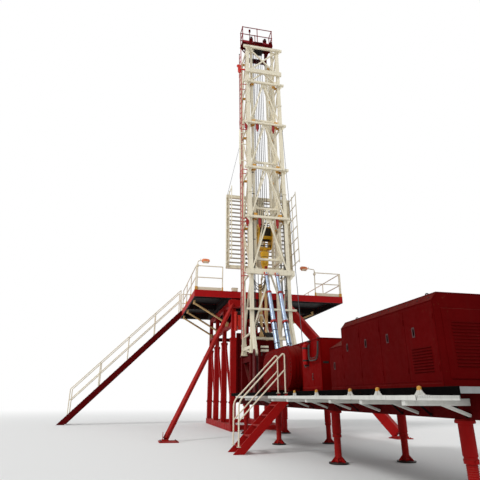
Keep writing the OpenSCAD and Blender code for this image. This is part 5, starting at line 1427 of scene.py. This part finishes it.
def make_mast_foot():
    cream, iron, hose = shapes(3)
    # Stacked pale beams on a short post over the pedestal's tie
    for z0, z1 in ((2.945, 3.030), (3.090, 3.170)):
        cream.box((-0.490, -3.46, z0), (-0.185, -3.36, z1), 0.008)
    for x in (-0.47, -0.24):
        iron.box((x, -3.42, 2.788), (x + 0.035, -3.39, 3.095), 0.005)
    # Knees and bolts at the pedestals
    top = 2.890
    for s, v, e in product(SIDES, (0, MAST_D), SIDES):
        x, y = s * LX, v - MAST_BACK - 0.010
        cream.plate([(0, 0), (0.055, 0), (0.008, 0.26), (0, 0.26)], 0.012,
                    upright(x + e * 0.090, y + 0.006, top, e), 0.002)
        for d in (-0.11, 0.11):
            iron.bolt((x + e * 0.125, y + d, top), Z, 0.018, 0.014)
    # Oil hoses from the deck to the swivels at the rams' feet
    for s in SIDES:
        hose.tube(bent([(s * 0.352, -4.970, 2.600), (s * 0.430, -4.970, 2.600), (s * 0.430, -4.86, 2.20),
                        (s * 0.430, -4.62, 1.75), (s * 0.430, -4.62, 1.452)], 0.16, 8), 0.020, 10)
        iron.turned((s * 0.350, -4.970, 2.600), (s, -4.970, 2.600),
                    [(0, 0.03), (0.004, 0.040), (0.05, 0.040), (0.06, 0.028)], 8)
    make_all("substructure", (cream, "mast_foot_plates", "cream"), (iron, "mast_foot_pins", "iron"),
             (hose, "lift_pipes", "rubber"))


def make_crown_frame():
    """The crown frame as photographed: no beam stands above the walkway on the near side."""
    red = Shape(ON_MAST)
    half = 0.060
    w0, top, end = UP_TOP + 0.0005, PLATE_W, CROWN_NEAR + CROWN_D
    between = UPPER_X - half
    for x in (-UPPER_X, UPPER_X):
        red.pad(x, UP_V1, half, half, w0, SHEAVE_W - half)
        red.pad(x, UP_V2, half, half, w0, top - 0.140)
        for v0, z0, v1, z1 in ((CROWN_NEAR + 0.02, SHEAVE_W + half, CROWN_NEAR + 0.14, top - 0.140),
                               (UP_V1 - half, SHEAVE_W - half, UP_V2 - half, SHEAVE_W + half),
                               (CROWN_NEAR, top - 0.140, end, top - 0.020)):
            red.box((x - half, v0, z0), (x + half, v1, z1))
        for v in (UP_V1, UP_V2):
            red.pad(x, v, 0.085, 0.085, w0, w0 + 0.022, 0.004)
    for v in (CROWN_NEAR + half, end - half):
        red.pad(0, v, between, half, top - 0.140, top - 0.020)
    # Tie beams between the mast's head and the sheaves: web, stiffeners and flanges
    for v in (UP_V1 - 0.045, UP_V2 - 0.015):
        red.box((-between, v, w0 + 0.060), (between, v + 0.060, w0 + 0.330))
        for x in np.arange(-0.36, 0.4, 0.24):
            red.box((x - 0.006, v - 0.020, w0 + 0.075), (x + 0.006, v, w0 + 0.315), 0.002)
        for w in (0.318, 0.058):
            red.box((-between, v - 0.022, w0 + w), (between, v + 0.070, w0 + w + 0.014), 0.003)
    # Brackets under the platform's overhang on the left
    for v in (CROWN_NEAR + 0.04, end - 0.12):
        red.box((-CROWN_HALF + 0.02, v, top - 0.100), (-UPPER_X - 0.059, v + 0.08, top - 0.020), 0.005)
        red.bar((-CROWN_HALF + 0.06, v + 0.04, top - 0.10), (-UPPER_X - 0.055, v + 0.04, top - 0.36), 0.045, 0.045)
    red.rod((-UPPER_X - half, SHEAVE_V, SHEAVE_W), (UPPER_X + half, SHEAVE_V, SHEAVE_W), 0.060, 32)
    red.made("crown_frame_built", "dark_red", "upper_mast", "crown_frame")


# ---------------------------------------------------------------- light and floor
SKY, SKY_STRENGTH, WHITE, FLOOR_GREY = (0.97, 0.985, 1.0, 1), 0.60, (1, 1, 1, 1), (0.80, 0.80, 0.79, 1)
SUNS = (("key", (52, 0, -62), 1.55, 14), ("fill", (60, 0, 35), 0.35, 60))  # name, turn, strength, softness
FADE_FROM, FADE_TO, FLOOR_HALF, FLOOR_DROP = 14.0, 42.0, 150.0, -0.004


def make_studio():
    scene = bpy.context.scene
    scene.view_settings.view_transform = "Standard"
    world = scene.world = bpy.data.worlds.new("studio")
    g = Graph(world, "OutputWorld")
    ray = g.node("LightPath").outputs
    direct = g.math("MAXIMUM", g.math("MAXIMUM", ray["Is Camera Ray"], ray["Is Glossy Ray"]),
                    ray["Is Transmission Ray"])
    lit, seen = (g.node("Background", {0: colour, 1: strength}).outputs[0]
                 for colour, strength in ((SKY, SKY_STRENGTH), (WHITE, 1.0)))
    g.show(g.node("MixShader", {0: direct, 1: lit, 2: seen}))
    for name, turn, strength, soft in SUNS:
        data = bpy.data.lights.new(name, "SUN")
        data.energy = strength
        data.angle = math.radians(soft)
        placed(name, data).rotation_euler = [math.radians(a) for a in turn]

    # Floor that turns white far away
    mesh = bpy.data.meshes.new("studio_floor")
    s, z = FLOOR_HALF, FLOOR_DROP
    mesh.from_pydata([(-s, -s, z), (s, -s, z), (s, s, z), (-s, s, z)], [], [(0, 1, 2, 3)])
    g = Graph.material("studio_floor")
    x, y, _ = g.split(g.place)
    reach = g.math("SQRT", g.plus(g.times(x, x), g.math("POWER", g.plus(y, 4.0), 2.0)))
    ray = g.node("LightPath").outputs
    far = g.times(g.ramp(reach, FADE_FROM, FADE_TO), g.math("MAXIMUM", ray["Is Camera Ray"], ray["Is Glossy Ray"]))
    matt = g.node("BsdfPrincipled", {"Base Color": FLOOR_GREY, "Roughness": 0.9}).outputs[0]
    g.show(g.node("MixShader", {0: far, 1: matt, 2: g.node("Emission").outputs[0]}))
    mesh.materials.append(g.owner)
    placed("studio_floor", mesh)


make_camera()
make_studio()
dress_cad()
make_floodlights()
make_floor_fittings()
make_rotary()
make_block()
make_cylinders()
make_gussets()
make_standpipe()
make_ladder()
make_foot_ram()
make_mast_hoses()
make_upper_gussets()
make_stay()
make_racking()
make_crown()
make_crown_frame()
make_guard()
make_drawworks()
make_tank()
make_housings()
make_deck()
make_jacks()
make_substructure()
make_stair()
make_mast_foot()

bpy.context.view_layer.update()
